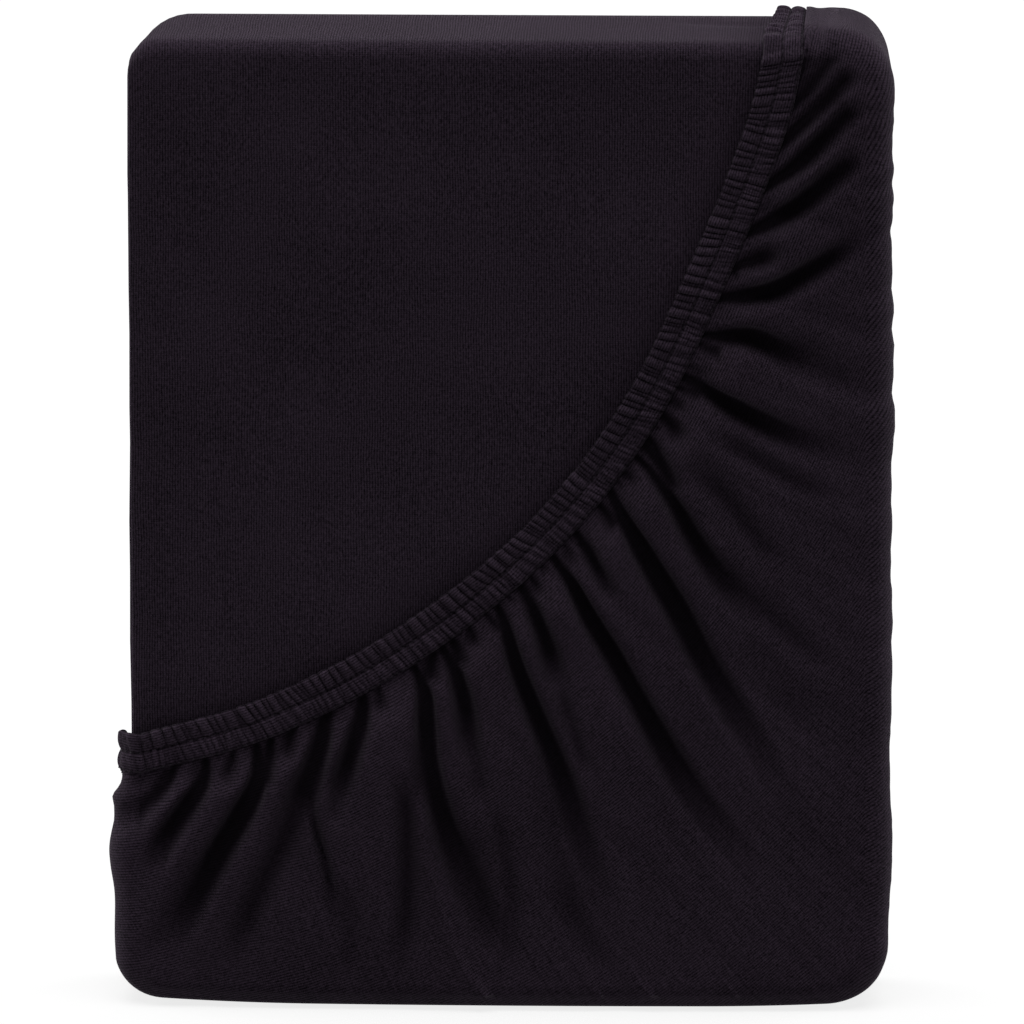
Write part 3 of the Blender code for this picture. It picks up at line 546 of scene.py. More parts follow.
def outline_point(along):
    """Place and outward direction, as (x, z), on the outline.  It may be run past its ends."""
    for number, (length, start, facing, radius) in enumerate(OUTLINE):
        if along <= length or number == len(OUTLINE) - 1:
            break
        along -= length
    angle = math.radians(facing)
    if radius:
        angle += along / radius
        outward = Vector((math.cos(angle), math.sin(angle)))
        return Vector(start) + outward * radius, outward
    outward = Vector((math.cos(angle), math.sin(angle)))
    return Vector(start) + Vector((-outward.y, outward.x)) * along, outward


# ---- the corner's surface: front, edges and walls ----
FRONT_ARC = FRONT_EDGE * math.pi / 2
BACK_ARC = BACK_EDGE * math.pi / 2
WALL_RUN = (BACK - CLOTH) - (FRONT - GAP) - FRONT_EDGE - BACK_EDGE
AROUND = FRONT_ARC + WALL_RUN + BACK_ARC             # from the front over a wall to the back
WALL_ROWS = ([FRONT_ARC * s for s in steps(ARC_STEPS)[1:]]
             + [FRONT_ARC + WALL_RUN * s for s in steps(WALL_STEPS)[1:]]
             + [AROUND - BACK_ARC * (1.0 - s) for s in steps(BACK_STEPS)[1:]])


def front_surface(flat):
    """A place of the front view, as (x, z), on the inner face of the skirt."""
    place = Vector((flat.x, FRONT - GAP - belly(flat.x, flat.y), flat.y))
    return lifted(place), Vector((0, -1, 0))


def hem_sink(along, around):
    """How far the lines of the lower left side run downwards on their way to the back."""
    return HEM_SINK * max(around - FRONT_ARC, 0.0) * (1.0 - smooth(along / HEM_SINK_REACH))


def wall_surface(along, around):
    """A place on the edges and walls of the corner, and the direction away from the pack."""
    rim, outward = outline_point(along + hem_sink(along, around))
    edge = rim - outward * FRONT_EDGE
    face = front_surface(edge)[0].y
    if around <= FRONT_ARC:
        angle = around / FRONT_EDGE
        inset = FRONT_EDGE * (1 - math.sin(angle))
        depth = face + FRONT_EDGE * (1 - math.cos(angle))
        tilt = math.pi / 2 - angle
        towards = -1
    elif around <= FRONT_ARC + WALL_RUN:
        share = (around - FRONT_ARC) / WALL_RUN
        inset = 0.0
        depth = blend(face + FRONT_EDGE, BACK - CLOTH - BACK_EDGE, share)
        tilt = 0.0
        towards = 1
    else:
        angle = (around - FRONT_ARC - WALL_RUN) / BACK_EDGE
        inset = BACK_EDGE * (1 - math.cos(angle))
        depth = BACK - CLOTH - BACK_EDGE * (1 - math.sin(angle))
        tilt = angle
        towards = 1
    flat = rim - outward * inset
    normal = Vector((outward.x * math.cos(tilt), towards * math.sin(tilt),
                     outward.y * math.cos(tilt)))
    return lifted(Vector((flat.x, depth, flat.y))), normal


def wall_swell(along, around, height):
    """Height of the cloth over a wall: the folds die out and the floor presses it flat."""
    rim, outward = outline_point(along)
    to_back = clamp((around - FRONT_ARC) / WALL_RUN)
    swell = height * (1.0 - WALL_FADE * to_back)
    at_wall = smooth(around / FRONT_ARC / WALL_EASE)
    for middle, half, size in LEFT_BULGES:
        swell += size * math.exp(-((rim.y - middle) / half) ** 2) * at_wall * clamp(-outward.x)
    wave = 0.5 + 0.5 * math.sin(2.0 * math.pi * along / SIDE_WAVE_LENGTH)
    loft = SIDE_WAVE * wave - RIGHT_PULL
    loft -= RIGHT_PULL_LOW * smooth(1.0 - rim.y / RIGHT_PULL_FADE)
    swell += loft * at_wall * smooth(2.0 * outward.x - 1.0)
    top_loft = TOP_LOFT * math.exp(-(OUTLINE_LENGTH - along) / TOP_LOFT_REACH)
    swell += top_loft * at_wall * smooth(2.0 * outward.y - 1.0)
    pressed = clamp(1.0 + min(outward.y, 0.0)) if around > 0.0 else 1.0
    return swell * pressed * clamp((AROUND - around) / BACK_ARC)


# ---- the skirt's folds ----
def as_array(points):
    return np.array([tuple(point) for point in points])


def along_path(places, path):
    """For each place: how far it is from a path, with a minus on the path's right-hand side,
    and how far along the path that is.  The last value is the path's length."""
    away = np.full(places.shape[:-1], np.inf)
    along = np.zeros(places.shape[:-1])
    before = 0.0
    for start, end in zip(path, path[1:]):
        run = end - start
        length = np.hypot(*run)
        share = np.clip((places - start) @ run / length ** 2, 0.0, 1.0)
        gap = places - start - share[..., None] * run
        side = np.where(run[0] * gap[..., 1] - run[1] * gap[..., 0] < 0.0, -1.0, 1.0)
        distance = np.hypot(gap[..., 0], gap[..., 1])
        nearer = distance < np.abs(away)
        away = np.where(nearer, distance * side, away)
        along = np.where(nearer, before + share * length, along)
        before += length
    return away, along, before


def ease(values):
    values = np.clip(values, 0.0, 1.0)
    return values * values * (3.0 - 2.0 * values)


def trough_relief(places):
    """Share of the folds' height that the troughs and hollows leave at an array of places; the
    skirt also takes it as its painted shade, darker in the troughs and hollows.
    """
    left = np.ones(places.shape[:-1])
    for depth, full, route in TROUGHS:
        path = as_array(curve([beside_hem(*at[:2]) for at in route], CURVE_PARTS))
        away, along, length = along_path(places, path)
        away = np.abs(away)
        share = along / length
        lengths = np.concatenate([[0.0], np.cumsum(np.hypot(*np.diff(path, axis=0).T))])
        widths = np.interp(along, lengths[::CURVE_PARTS], [half for _, _, half in route])
        depths = depth * ease((1.0 - share) / (1.0 - full))
        soft = blend(TROUGH_SOFT, TROUGH_SOFT_END, share)
        beyond = (away - widths + TROUGH_INSIDE * soft) / ((1.0 + TROUGH_INSIDE) * soft)
        left *= 1.0 - depths * (1.0 - ease(beyond))
        crown = np.clip(1.0 - (away - widths) / CROWN_REACH, 0.0, 1.0) * ease(widths)
        left *= 1.0 - depths * CROWN_DROP * crown * crown
    for depth, half, route in HOLLOWS:
        path = as_array(curve([beside_hem(*at) for at in route], CURVE_PARTS))
        away, along, length = along_path(places, path)
        share = along / length
        fade = ease(HOLLOW_START * share) * ease(HOLLOW_STOP * (1.0 - share))
        left *= 1.0 - depth * fade * np.exp(-(away / half) ** 2)
    return left


def crease_relief(places):
    """Height of the single creases at an array of places."""
    height = np.zeros(places.shape[:-1])
    for rise, left_half, right_half, start_share, route in CREASES:
        path = as_array(curve([from_view(*at) for at in route], CURVE_PARTS))
        away, along, length = along_path(places, path)
        half = np.where(away > 0.0, right_half, left_half)
        grown = blend(start_share, 1.0, along / length)
        height += rise * grown * np.exp(-np.abs(away / half) ** CREASE_FORM)
    return height


def knit_places(places):
    """Distance of an array of places from the hem, which the knit's lines run along, and the
    place along those lines."""
    marks = [HEM_LENGTH * s for s in steps(KNIT_MARKS)]
    marks = [-KNIT_REACH] + marks + [HEM_LENGTH + KNIT_REACH]
    path = as_array([beside_hem(along, HEM_WIDTH) for along in marks])
    away, along, _ = along_path(places, path)
    return np.abs(away), along - KNIT_REACH


def guide_rows():
    """The guides, stretched to the lengths of the hem and of the outline."""
    hem, outline, _ = GUIDES[-1]
    return [(row[0] * HEM_LENGTH / hem, row[1] * OUTLINE_LENGTH / outline, row[2])
            for row in GUIDES]


GUIDE_ROWS = guide_rows()


class FoldLine:
    """One line of the skirt, from the hem over the front to the pack's outline."""

    def __init__(self, along):
        self.along = along
        self.rim = lookup(GUIDE_ROWS, along, 1)
        self.bow = lookup(GUIDE_ROWS, along, 2)
        self.start = hem_point(along, HEM_WIDTH)
        rim, self.outward = outline_point(self.rim)
        self.end = rim - self.outward * FRONT_EDGE
        run = self.end - self.start
        self.length = run.length
        self.side = Vector((run.y, -run.x)).normalized() if self.length else Vector((0, 0))

    def at(self, share):
        bow = self.bow * 4.0 * share * (1.0 - share)
        return self.start.lerp(self.end, share) + self.side * bow

    def spread_out(self, around):
        """The place that a point of the wall has when the wall is folded flat to the front."""
        return self.end + self.outward * around


def fold_height(line, share, left, knit):
    """Height of the skirt over the pack: folds between troughs, lower towards the rim."""
    distance = share * line.length
    full = FOLD_HEIGHT * clamp(line.length / FULL_FOLD_LENGTH, LOWEST_FOLD)
    ridge = blend(full, min(full, FOLD_HEIGHT_RIM), clamp(share) ** FOLD_SLOPE)
    ridge *= blend(HEM_PRESS, 1.0, smooth(distance / FOLD_RISE))
    across, along = knit
    wrinkle = WRINKLE * (unevenness(WRINKLE_WAVES, along, across) + 0.5)
    return ridge * left + wrinkle * smooth(distance / FOLD_RISE)


# ---- the main cloth ----
def skirt_shares():
    """Shares of the way from hem to outline, closer together near the hem."""
    return [blend(s, s * s, SKIRT_CROWDING) for s in steps(SKIRT_STEPS)]


def make_skirt(cloth, pleats):
    """The corner: fold lines from under the hem over the front, the edge and the wall."""
    count = round(HEM_LENGTH / FOLD_LINE_PITCH)
    lines = [FoldLine(HEM_LENGTH * s) for s in steps(count)]
    shares = skirt_shares()
    flats = [[line.at(s) for s in shares] + [line.spread_out(a) for a in WALL_ROWS]
             for line in lines]
    places = np.array([as_array(row) for row in flats])
    left, creases = trough_relief(places), crease_relief(places)
    knit = np.stack(knit_places(places), axis=-1)
    ends = []
    before = None
    for number, line in enumerate(lines):
        tuck = hem_point(line.along, HEM_WIDTH - TUCK)
        place, normal = front_surface(tuck)
        points = [cloth.point(place, normal, TUCK_LOW, TUCK_HIGH, (-TUCK, line.along))]
        pleat = PLEAT_HEIGHT * (pleats.puff(line.along, 0.0) - PLEAT_MEAN)
        columns = zip(shares, flats[number], left[number], creases[number], knit[number])
        for share, flat, kept, crease, woven in columns:
            place, normal = front_surface(flat)
            height = fold_height(line, share, kept, woven)
            distance = share * line.length
            set_in = smooth(distance / PLEAT_RISE + PLEAT_START)
            height += pleat * math.exp(-distance / PLEAT_FADE) * set_in
            height = max(height + crease, LEAST_LIFT)
            thick = blend(HEM_THIN, CLOTH, smooth(distance / FOLD_RISE))
            # The share of the folds' height left here also sets the painted shade of the cloth in
            # troughs and hollows.
            points.append(cloth.point(place, normal, height, height + thick, woven, kept))
        at_rim = height - kept * FOLD_HEIGHT_RIM
        walls = zip(WALL_ROWS, left[number][len(shares):], knit[number][len(shares):])
        for around, kept, woven in walls:
            place, normal = wall_surface(line.rim, around)
            height = wall_swell(line.rim, around, at_rim + kept * FOLD_HEIGHT_RIM)
            height = max(height, 0.0)
            points.append(cloth.point(place, normal, height, height + CLOTH, woven))
        if before:
            quads(cloth, before, points)
        before = points
        ends.append(points[-1])
    return ends


def stack_place(x, y, z):
    """A place in the folded stack, with its rounded corners and thinner left end."""
    y_front = BACK + (y - BACK) * (1.0 - SIDE_PINCH * clamp(1 - (x - STACK_LEFT) / SIDE_EASE) ** 2)
    depth = clamp((BACK - y) / (BACK - FRONT))
    left = round_off(x - STACK_LEFT, blend(TOP_LEFT_FRONT, TOP_LEFT_BACK, 1.0 - depth))
    right = round_off(STACK_RIGHT - x, CORNER_TOP + ROUNDER)
    foot = round_off(x - STACK_LEFT, CORNER_FOOT_LEFT + ROUNDER)
    foot += round_off(STACK_RIGHT - x, CORNER_FOOT_RIGHT + ROUNDER)
    high = clamp((z - STACK_TOP + CORNER_FADE) / CORNER_FADE)
    low = clamp((CORNER_FADE - z) / CORNER_FADE)
    z = z - (left + right) * high + foot * low
    return lifted(Vector((x, y_front - belly(x, z) * depth, z)))


def arc(centre, radius, start, end, count):
    """Points of an arc in section, as (y, z); the angles are in degrees."""
    angles = [math.radians(blend(start, end, s)) for s in steps(count)]
    return [(centre[0] + radius * math.cos(a), centre[1] + radius * math.sin(a)) for a in angles]


def outer_layer_path():
    """The outer layer in section, from the back edge over the top and down the front."""
    half = CLOTH / 2
    back, front, top = BACK - half, FRONT + half, STACK_TOP - half
    path = arc((back - BACK_EDGE, top - BACK_EDGE), BACK_EDGE, 0.0, 90.0, BACK_STEPS)
    free_rows = len(path)
    top_run = (back - BACK_EDGE, front + FRONT_EDGE)
    path += [(blend(*top_run, s), top) for s in steps(TOP_ROWS)[1:-1]]
    path += arc((front + FRONT_EDGE, top - FRONT_EDGE), FRONT_EDGE, 90.0, 180.0, ARC_STEPS)
    foot = FLOOR + GAP + CLOTH + FRONT_EDGE
    path += [(front, blend(top - FRONT_EDGE, foot, s)) for s in steps(PANEL_ROWS)[1:]]
    return path, free_rows


def end_drop(y):
    """How far a turn stays inside the rounded edges of the pack."""
    return (round_off(y - FRONT - CLOTH, FRONT_EDGE)
            + round_off(BACK - CLOTH - y, BACK_EDGE))


def ply_path():
    """The inner layers in section: back and forth from the front panel to the back."""
    pitch = (BACK - FRONT - 2 * CLOTH) / (PLIES + 1)
    places = [FRONT + CLOTH / 2] + [FRONT + CLOTH + pitch * (n + 0.5) for n in range(PLIES)]
    foot = FLOOR + GAP + PLY / 2
    top = STACK_TOP - CLOTH - GAP - PLY / 2
    path = []
    for number, (y, following) in enumerate(zip(places, places[1:])):
        middle = (y + following) / 2
        turn = pitch / 2 if number % 2 == 0 else -pitch / 2
        level = foot + end_drop(middle) if number % 2 == 0 else top - end_drop(middle)
        if number:
            path.append((y, level + turn))
        path.append((middle, level))
        path.append((following, level + turn))
        far = top - TURN_REACH if number % 2 == 0 else foot + TURN_REACH
        path += [(following, blend(level + turn, far, s)) for s in steps(PLY_ROWS)[1:-1]]
    return path


def section_normals(path):
    """Outward directions in section: the right-hand side of the path, as (y, z)."""
    runs = [(Vector(b) - Vector(a)).normalized() for a, b in zip(path, path[1:])]
    runs = [runs[0]] + runs + [runs[-1]]
    middles = [(a + b).normalized() for a, b in zip(runs, runs[1:])]
    return [Vector((0, run.y, -run.x)) for run in middles]


def lip_share(x):
    """Share of its thickness that a layer has near its left edge, which is rounded."""
    reach = clamp((x - STACK_LEFT) / LIP)
    return math.sqrt(clamp(1.0 - (1.0 - reach) ** 2, LEAST_LIP))


def panel_columns():
    """Places across the outer layer, closer together at both ends."""
    left = [STACK_LEFT + LIP * s for s in LIP_STATIONS]
    start, end = STACK_LEFT + PANEL_INSETS[0], STACK_RIGHT - PANEL_INSETS[1]
    middle = [blend(start, end, blend(s, smooth(s), PANEL_CROWDING))
              for s in steps(PANEL_COLUMNS)]
    return left + middle + [STACK_RIGHT]


def ply_columns(columns):
    """The outer layer's places that the inner layers use too."""
    middle = columns[PLY_STEP:-PLY_RIGHT - 1:PLY_STEP]
    return columns[:PLY_STEP] + middle + columns[-PLY_RIGHT:]


def panel_relief(x, z):
    """Slow unevenness and faint dents of the smooth panels."""
    return unevenness(PANEL_WAVES, x, z) + dent_height(PANEL_DENTS, Vector((x, z)))


def make_stack(cloth, meeting):
    """The outer layer and the inner layers as rows across the width."""
    columns = panel_columns()
    inner_columns = ply_columns(columns)
    outer, free_rows = outer_layer_path()
    path = outer + ply_path()
    normals = section_normals(path)
    open_columns = [x for x in columns if x < HEM_CROSSING - CLEAR_OF_HEM]
    hem = as_array([hem_place(HEM_LENGTH * s) for s in steps(HEM_MARKS)])
    before, top_row, run = None, None, 0.0
    for number, ((y, z), normal) in enumerate(zip(path, normals)):
        is_outer = number < len(outer)
        if number < free_rows:
            stations = open_columns
        else:
            stations = columns if is_outer else inner_columns
        if number:
            run += math.dist(path[number - 1], (y, z))
        row = {}
        beside = np.abs(along_path(np.array([(x, z) for x in stations]), hem)[0])
        for x, distance in zip(stations, beside):
            half = (CLOTH if is_outer else PLY) / 2 * lip_share(x)
            place = stack_place(x, y, z)
            if is_outer:
                place.y -= panel_relief(x, z) * clamp((STACK_TOP - z) / FRONT_EDGE)
                if z > STACK_TOP - FRONT_EDGE:
                    place.z += dent_height(TOP_DENTS, Vector((x, y)))
            else:
                loose = clamp(1.0 - (x - STACK_LEFT) / SIDE_EASE)
                place.x += unevenness(PLY_EDGE_WAVES, y, z) * loose
            # Painted shade: the outer layer's colour is darker along the hem's upper edge.
            hem_painted_shade = BESIDE_HEM_PAINTED_SHADE * math.exp(-distance / BESIDE_HEM_REACH) * is_outer
            row[x] = cloth.point(place, normal, -half, half, (x, run), 1.0 - hem_painted_shade)
        if number < free_rows:
            row[HEM_CROSSING] = meeting if number == 0 else cloth.point(
                stack_place(HEM_CROSSING, y, z), normal, -CLOTH / 2, CLOTH / 2,
                (HEM_CROSSING, run))
        if before:
            cloth.stitch(before, row)
        top_row = top_row or row
        before = row
    return [top_row[x] for x in sorted(top_row)]


def relax_back(solid):
    """Slices the back panel into cells, gives it slow unevenness and its own knit lines."""
    back = max((face for face in solid.faces if face.normal.y > FACING_BACK),
               key=lambda face: len(face.verts))
    edge = [vertex.co.copy() for vertex in back.verts]
    pieces = [back]
    for normal in (Vector((1, 0, 0)), Vector((0, 0, 1))):
        start, end = min(normal.dot(at) for at in edge), max(normal.dot(at) for at in edge)
        for share in steps(round((end - start) / BACK_CELL))[1:-1]:
            cut = bmesh.ops.bisect_plane(
                solid, geom=pieces + list({e for f in pieces for e in f.edges})
                + list({v for f in pieces for v in f.verts}),
                plane_co=normal * blend(start, end, share), plane_no=normal)
            pieces = [g for g in cut["geom"] if isinstance(g, bmesh.types.BMFace)]
    knit_map = solid.loops.layers.uv["knit"]
    inside = {v for face in pieces for v in face.verts if all(f in pieces for f in v.link_faces)}
    for vertex in inside:
        nearest = min((vertex.co - place).length_squared for place in edge)
        fade = smooth(math.sqrt(nearest) / BACK_RISE)
        vertex.co.y += panel_relief(vertex.co.x + BACK_SHIFT, vertex.co.z) * fade
    for face in pieces:
        for loop in face.loops:
            loop[knit_map].uv = (loop.vert.co.x, loop.vert.co.z)


# ---- the hem band ----
class Puffs:
    """Uneven rolls of gathered cloth across the hem, with clefts between them."""

    def __init__(self, pitch, seed):
        chance = random.Random(seed)
        self.clefts = []
        place = -AROUND - pitch
        while place < HEM_LENGTH + AROUND + pitch:
            wide = pitch * chance.uniform(*ROLL_WIDTHS)
            self.clefts.append((place, wide, chance.uniform(*ROLL_HEIGHTS)))
            place += wide
        self.pitch = pitch

    def puff(self, along, across):
        """Height of the rolls at a place of the band, from 0 in a cleft to 1."""
        wander = noise.noise(Vector((along * CLEFT_CHANGE, self.pitch, 0.0)))
        along -= (CLEFT_SLANT + CLEFT_WANDER * wander) * across
        number = max(bisect.bisect_right(self.clefts, along, key=first) - 1, 0)
        place, wide, height = self.clefts[number]
        share = clamp((along - place) / wide)
        return height * min(1.0, wide / self.pitch) * (4.0 * share * (1.0 - share)) ** ROLL_FORM


def hole_row(seed):
    """Where the needle has pierced the hem, along one row of sewing."""
    chance = random.Random(seed)
    holes = [-AROUND + HEM_END]
    while holes[-1] < HEM_LENGTH + AROUND - HEM_END:
        holes.append(holes[-1] + STITCH_PITCH * chance.uniform(*STITCH_UNEVEN))
    return holes


def channel(across, low, high):
    """Cross-section of a channel between two rows of sewing, from its least at them to 1."""
    share = clamp((across - low) / (high - low))
    return blend(SEAM_PUFF, 1.0, math.sin(math.pi * share) ** CHANNEL_FORM)


def pit(along, across):
    """How deep the cloth is drawn in round the needle holes."""
    drawn = 0.0
    for row, holes in zip(STITCH_ROWS, HOLES):
        if abs(across - row) > 2.0 * PIT_ACROSS:
            continue
        number = bisect.bisect_left(holes, along)
        near = min(abs(along - hole) for hole in holes[max(number - 1, 0):number + 1])
        drawn += math.exp(-(near / PIT_ALONG) ** 2 - ((across - row) / PIT_ACROSS) ** 2)
    return drawn


def band_height(along, across, upper, lower):
    """Height of the band's outer face: two puffed channels between the edge and the sewing."""
    first_row, second_row = STITCH_ROWS
    if across < first_row:
        puff = upper.puff(along, across)
        swell = channel(across, -CHANNEL_TOP, first_row)
    else:
        puff = blend(lower.puff(along, across), upper.puff(along, across), ROLLS_CARRIED)
        swell = channel(across, first_row, second_row + CHANNEL_FOOT)
    uneven = unevenness(BAND_WAVES, along, across)
    height = BAND_BASE + swell * (BAND_SWELL + BAND_PUFF * puff + uneven)
    return height - PIT_DEPTH * pit(along, across)


def band_surface(along, across):
    """A place of the hem band, which runs on round the left side and over the top."""
    if along < 0.0:
        return wall_surface(across - HEM_WIDTH, -along)
    if along > HEM_LENGTH:
        around = along - HEM_LENGTH
        width = blend(HEM_WIDTH, HEM_TOP_WIDTH, smooth(around / AROUND))
        return wall_surface(OUTLINE_LENGTH + width * (1.0 - across / HEM_WIDTH), around)
    return front_surface(hem_point(along, across))


def band_stations():
    walls = [AROUND * s for s in steps(round(AROUND / BAND_WALL_PITCH))[1:]]
    front = [HEM_LENGTH * s for s in steps(round(HEM_LENGTH / BAND_PITCH))]
    return [-w for w in reversed(walls)] + front + [HEM_LENGTH + w for w in walls]


def band_point(along, across, upper, lower):
    """Place, direction and heights of the band; its ends sink into the back panel."""
    rolls = upper if across < STITCH_ROWS[0] else lower
    drawn = SCALLOP * (1.0 - rolls.puff(along, across)) * clamp(1.0 - across / SCALLOP_REACH)
    place, normal = band_surface(along, across + drawn)
    beyond = max(-along, along - HEM_LENGTH, 0.0)
    flat = smooth((beyond - AROUND + HEM_END) / HEM_END)
    edge = min(across, HEM_WIDTH - across)
    rounded = math.sqrt(clamp(1.0 - (1.0 - clamp(edge / BAND_EDGE)) ** 2))
    high = blend(band_height(along, across, upper, lower), CLOTH + BAND_SUNK, flat)
    stand_off = blend(HEM_STAND_OFF, HEM_LOW, smooth(beyond / FRONT_ARC))
    low = blend(stand_off, HEM_LOW, smooth(across / HEM_STAND_WIDTH))
    low = blend(low, 0.0, flat)
    middle = (low + high) / 2
    high = blend(middle, high, max(rounded, BAND_LEAST))
    return place, normal, blend(middle, low, rounded), high


def make_band(cloth, upper, lower):
    before = None
    for along in band_stations():
        points = []
        for across in BAND_ROWS:
            place, normal, low, high = band_point(along, across, upper, lower)
            rolls = upper if across < STITCH_ROWS[0] else lower
            # Painted shade in the clefts and a painted highlight on the rolls.
            openness = blend(CLEFT_PAINTED_SHADE, ROLL_PAINTED_HIGHLIGHT, rolls.puff(along, across))
            # Painted shade at the needle holes and, below, along the band's upper edge.
            openness *= 1.0 - PIT_PAINTED_SHADE * clamp(pit(along, across))
            openness *= blend(CLEFT_PAINTED_SHADE, 1.0, smooth(across / EDGE_PAINTED_SHADE_WIDTH))
            woven = (across, along * GATHERED)
            points.append(cloth.point(place, normal, low, high, woven, openness))
        if before:
            quads(cloth, before, points)
        before = points


# ---- sewing ----
THREAD = 0.15            # thread radius
THREAD_DIP, THREAD_RISE = -2.2, 0.9      # height over the cloth, in radii: a stitch's ends, middle
THREAD_SIDES, STITCH_STEPS = 6, 6
AHEAD = 0.1              # distance over which a stitch's direction is read
HOLES = [hole_row(seed=5), hole_row(seed=6)]


def add_stitch(solid, start, end, across, upper, lower):
    """One stitch of thread: a short tube that dips into the cloth at both ends."""
    rings = []
    for share in steps(STITCH_STEPS):
        station = blend(start, end, share)
        place, normal, _, high = band_point(station, across, upper, lower)
        ahead = (band_point(station + AHEAD, across, upper, lower)[0] - place).normalized()
        side = ahead.cross(normal).normalized()
        rise = THREAD * blend(THREAD_DIP, THREAD_RISE, math.sin(math.pi * share) ** 0.5)
        centre = place + normal * (high + rise)
        ring = []
        for corner in range(THREAD_SIDES):
            turn = 2.0 * math.pi * corner / THREAD_SIDES
            offset = side * math.cos(turn) + normal * math.sin(turn)
            ring.append(solid.verts.new(centre + offset * THREAD))
        rings.append(ring)
    for ring, following in zip(rings, rings[1:]):
        for corner in range(THREAD_SIDES):
            after = (corner + 1) % THREAD_SIDES
            solid.faces.new((ring[corner], ring[after], following[after], following[corner]))
    solid.faces.new(list(reversed(rings[0])))
    solid.faces.new(rings[-1])


def make_sewing(upper, lower):
    solid = bmesh.new()
    for across, holes in zip(STITCH_ROWS, HOLES):
        for hole, following in zip(holes, holes[1:]):
            start, end = hole + STITCH_GAP, following - STITCH_GAP
            add_stitch(solid, start, end, across, upper, lower)
    for face in solid.faces:
        face.smooth = True
    bmesh.ops.recalc_face_normals(solid, faces=solid.faces)
    return solid


# ---- materials ----
WALE_PITCH, COURSE_PITCH = 0.86, 0.62    # the knit's lines and the stitches along them, in mm
JERSEY_DARK = (0.0005, 0.0002, 0.0006, 1.0)
JERSEY_LIGHT = (0.0290, 0.0203, 0.0310, 1.0)
FOLD_PAINTED_SHADE = 0.15        # painted shade: where the painted light is 0, deep in a fold, the colour keeps this share
SHADE_FORM = 0.7         # below 1 the painted shade lifts soon on the way out of a fold
TONE = 0.29              # mean share of the lighter fibres
STITCH_LOW, STITCH_MEAN = 0.65, 0.525    # of a knit line's height between stitches, and all over
STITCH_LEAN = 1.2        # how far a stitch's legs lean, in radians of a stitch
WALE_WANDER, WALE_WANDER_SCALE = 1.4, (0.05, 0.05, 1.0)      # in mm, and waves per mm
FLECK_SCALE = (2.2, 0.55, 1.0)           # flecks per mm, across the knit's lines and along them
FUZZ_SCALE, GRAIN_SCALE, CLOUD_SCALE = 2600.0, 1300.0, 22.0  # waves per metre
STITCH_CONTRAST, FLECK_CONTRAST, GRAIN_CONTRAST, CLOUD_CONTRAST = 0.42, 0.5, 0.7, 0.2
FUZZ_RELIEF, FLECK_RELIEF = 0.6, 0.5     # against the stitches' 1
THREAD_COLOUR = (0.012, 0.009, 0.013, 1.0)
TWIST_SCALE = 1700.0     # turns of the thread's twist per metre


class Nodes:
    """Short ways to add shader nodes."""

    def __init__(self, name):
        self.material = bpy.data.materials.new(name)
        self.material.use_nodes = True
        self.tree = self.material.node_tree
        self.shader = self.tree.nodes["Principled BSDF"]

    def add(self, kind, **settings):
        node = self.tree.nodes.new(kind)
        for key, value in settings.items():
            setattr(node, key, value)
        return node

    def link(self, source, target):
        self.tree.links.new(source, target)

    def math(self, operation, a, b=0.0, c=0.0):
        node = self.add("ShaderNodeMath", operation=operation)
        for socket, value in zip(node.inputs, (a, b, c)):
            if isinstance(value, (int, float)):
                socket.default_value = value
            else:
                self.link(value, socket)
        return node.outputs[0]

    def noise(self, vector, scale, detail, roughness=0.5):
        node = self.add("ShaderNodeTexNoise")
        node.inputs["Scale"].default_value = scale
        node.inputs["Detail"].default_value = detail
        node.inputs["Roughness"].default_value = roughness
        self.link(vector, node.inputs["Vector"])
        return node.outputs["Fac"]

    def scaled(self, vector, scale):
        node = self.add("ShaderNodeMapping")
        node.inputs["Scale"].default_value = scale
        self.link(vector, node.inputs["Vector"])
        return node.outputs["Vector"]

    def colour(self, a, b, share):
        """Gives the surface a colour between two."""
        mix = self.add("ShaderNodeMix", data_type="RGBA")
        mix.inputs["A"].default_value = a
        mix.inputs["B"].default_value = b
        self.link(share, mix.inputs["Factor"])
        self.link(mix.outputs["Result"], self.shader.inputs["Base Color"])

    def relief(self, height, strength, distance):
        """Gives the surface a fine relief."""
        bump = self.add("ShaderNodeBump")
        bump.inputs["Strength"].default_value = strength
        bump.inputs["Distance"].default_value = distance
        self.link(height, bump.inputs["Height"])
        self.link(bump.outputs["Normal"], self.shader.inputs["Normal"])

    def done(self, values):
        """Sets the surface's other values and returns the material."""
        for name, value in values.items():
            self.shader.inputs[name].default_value = value
        return self.material


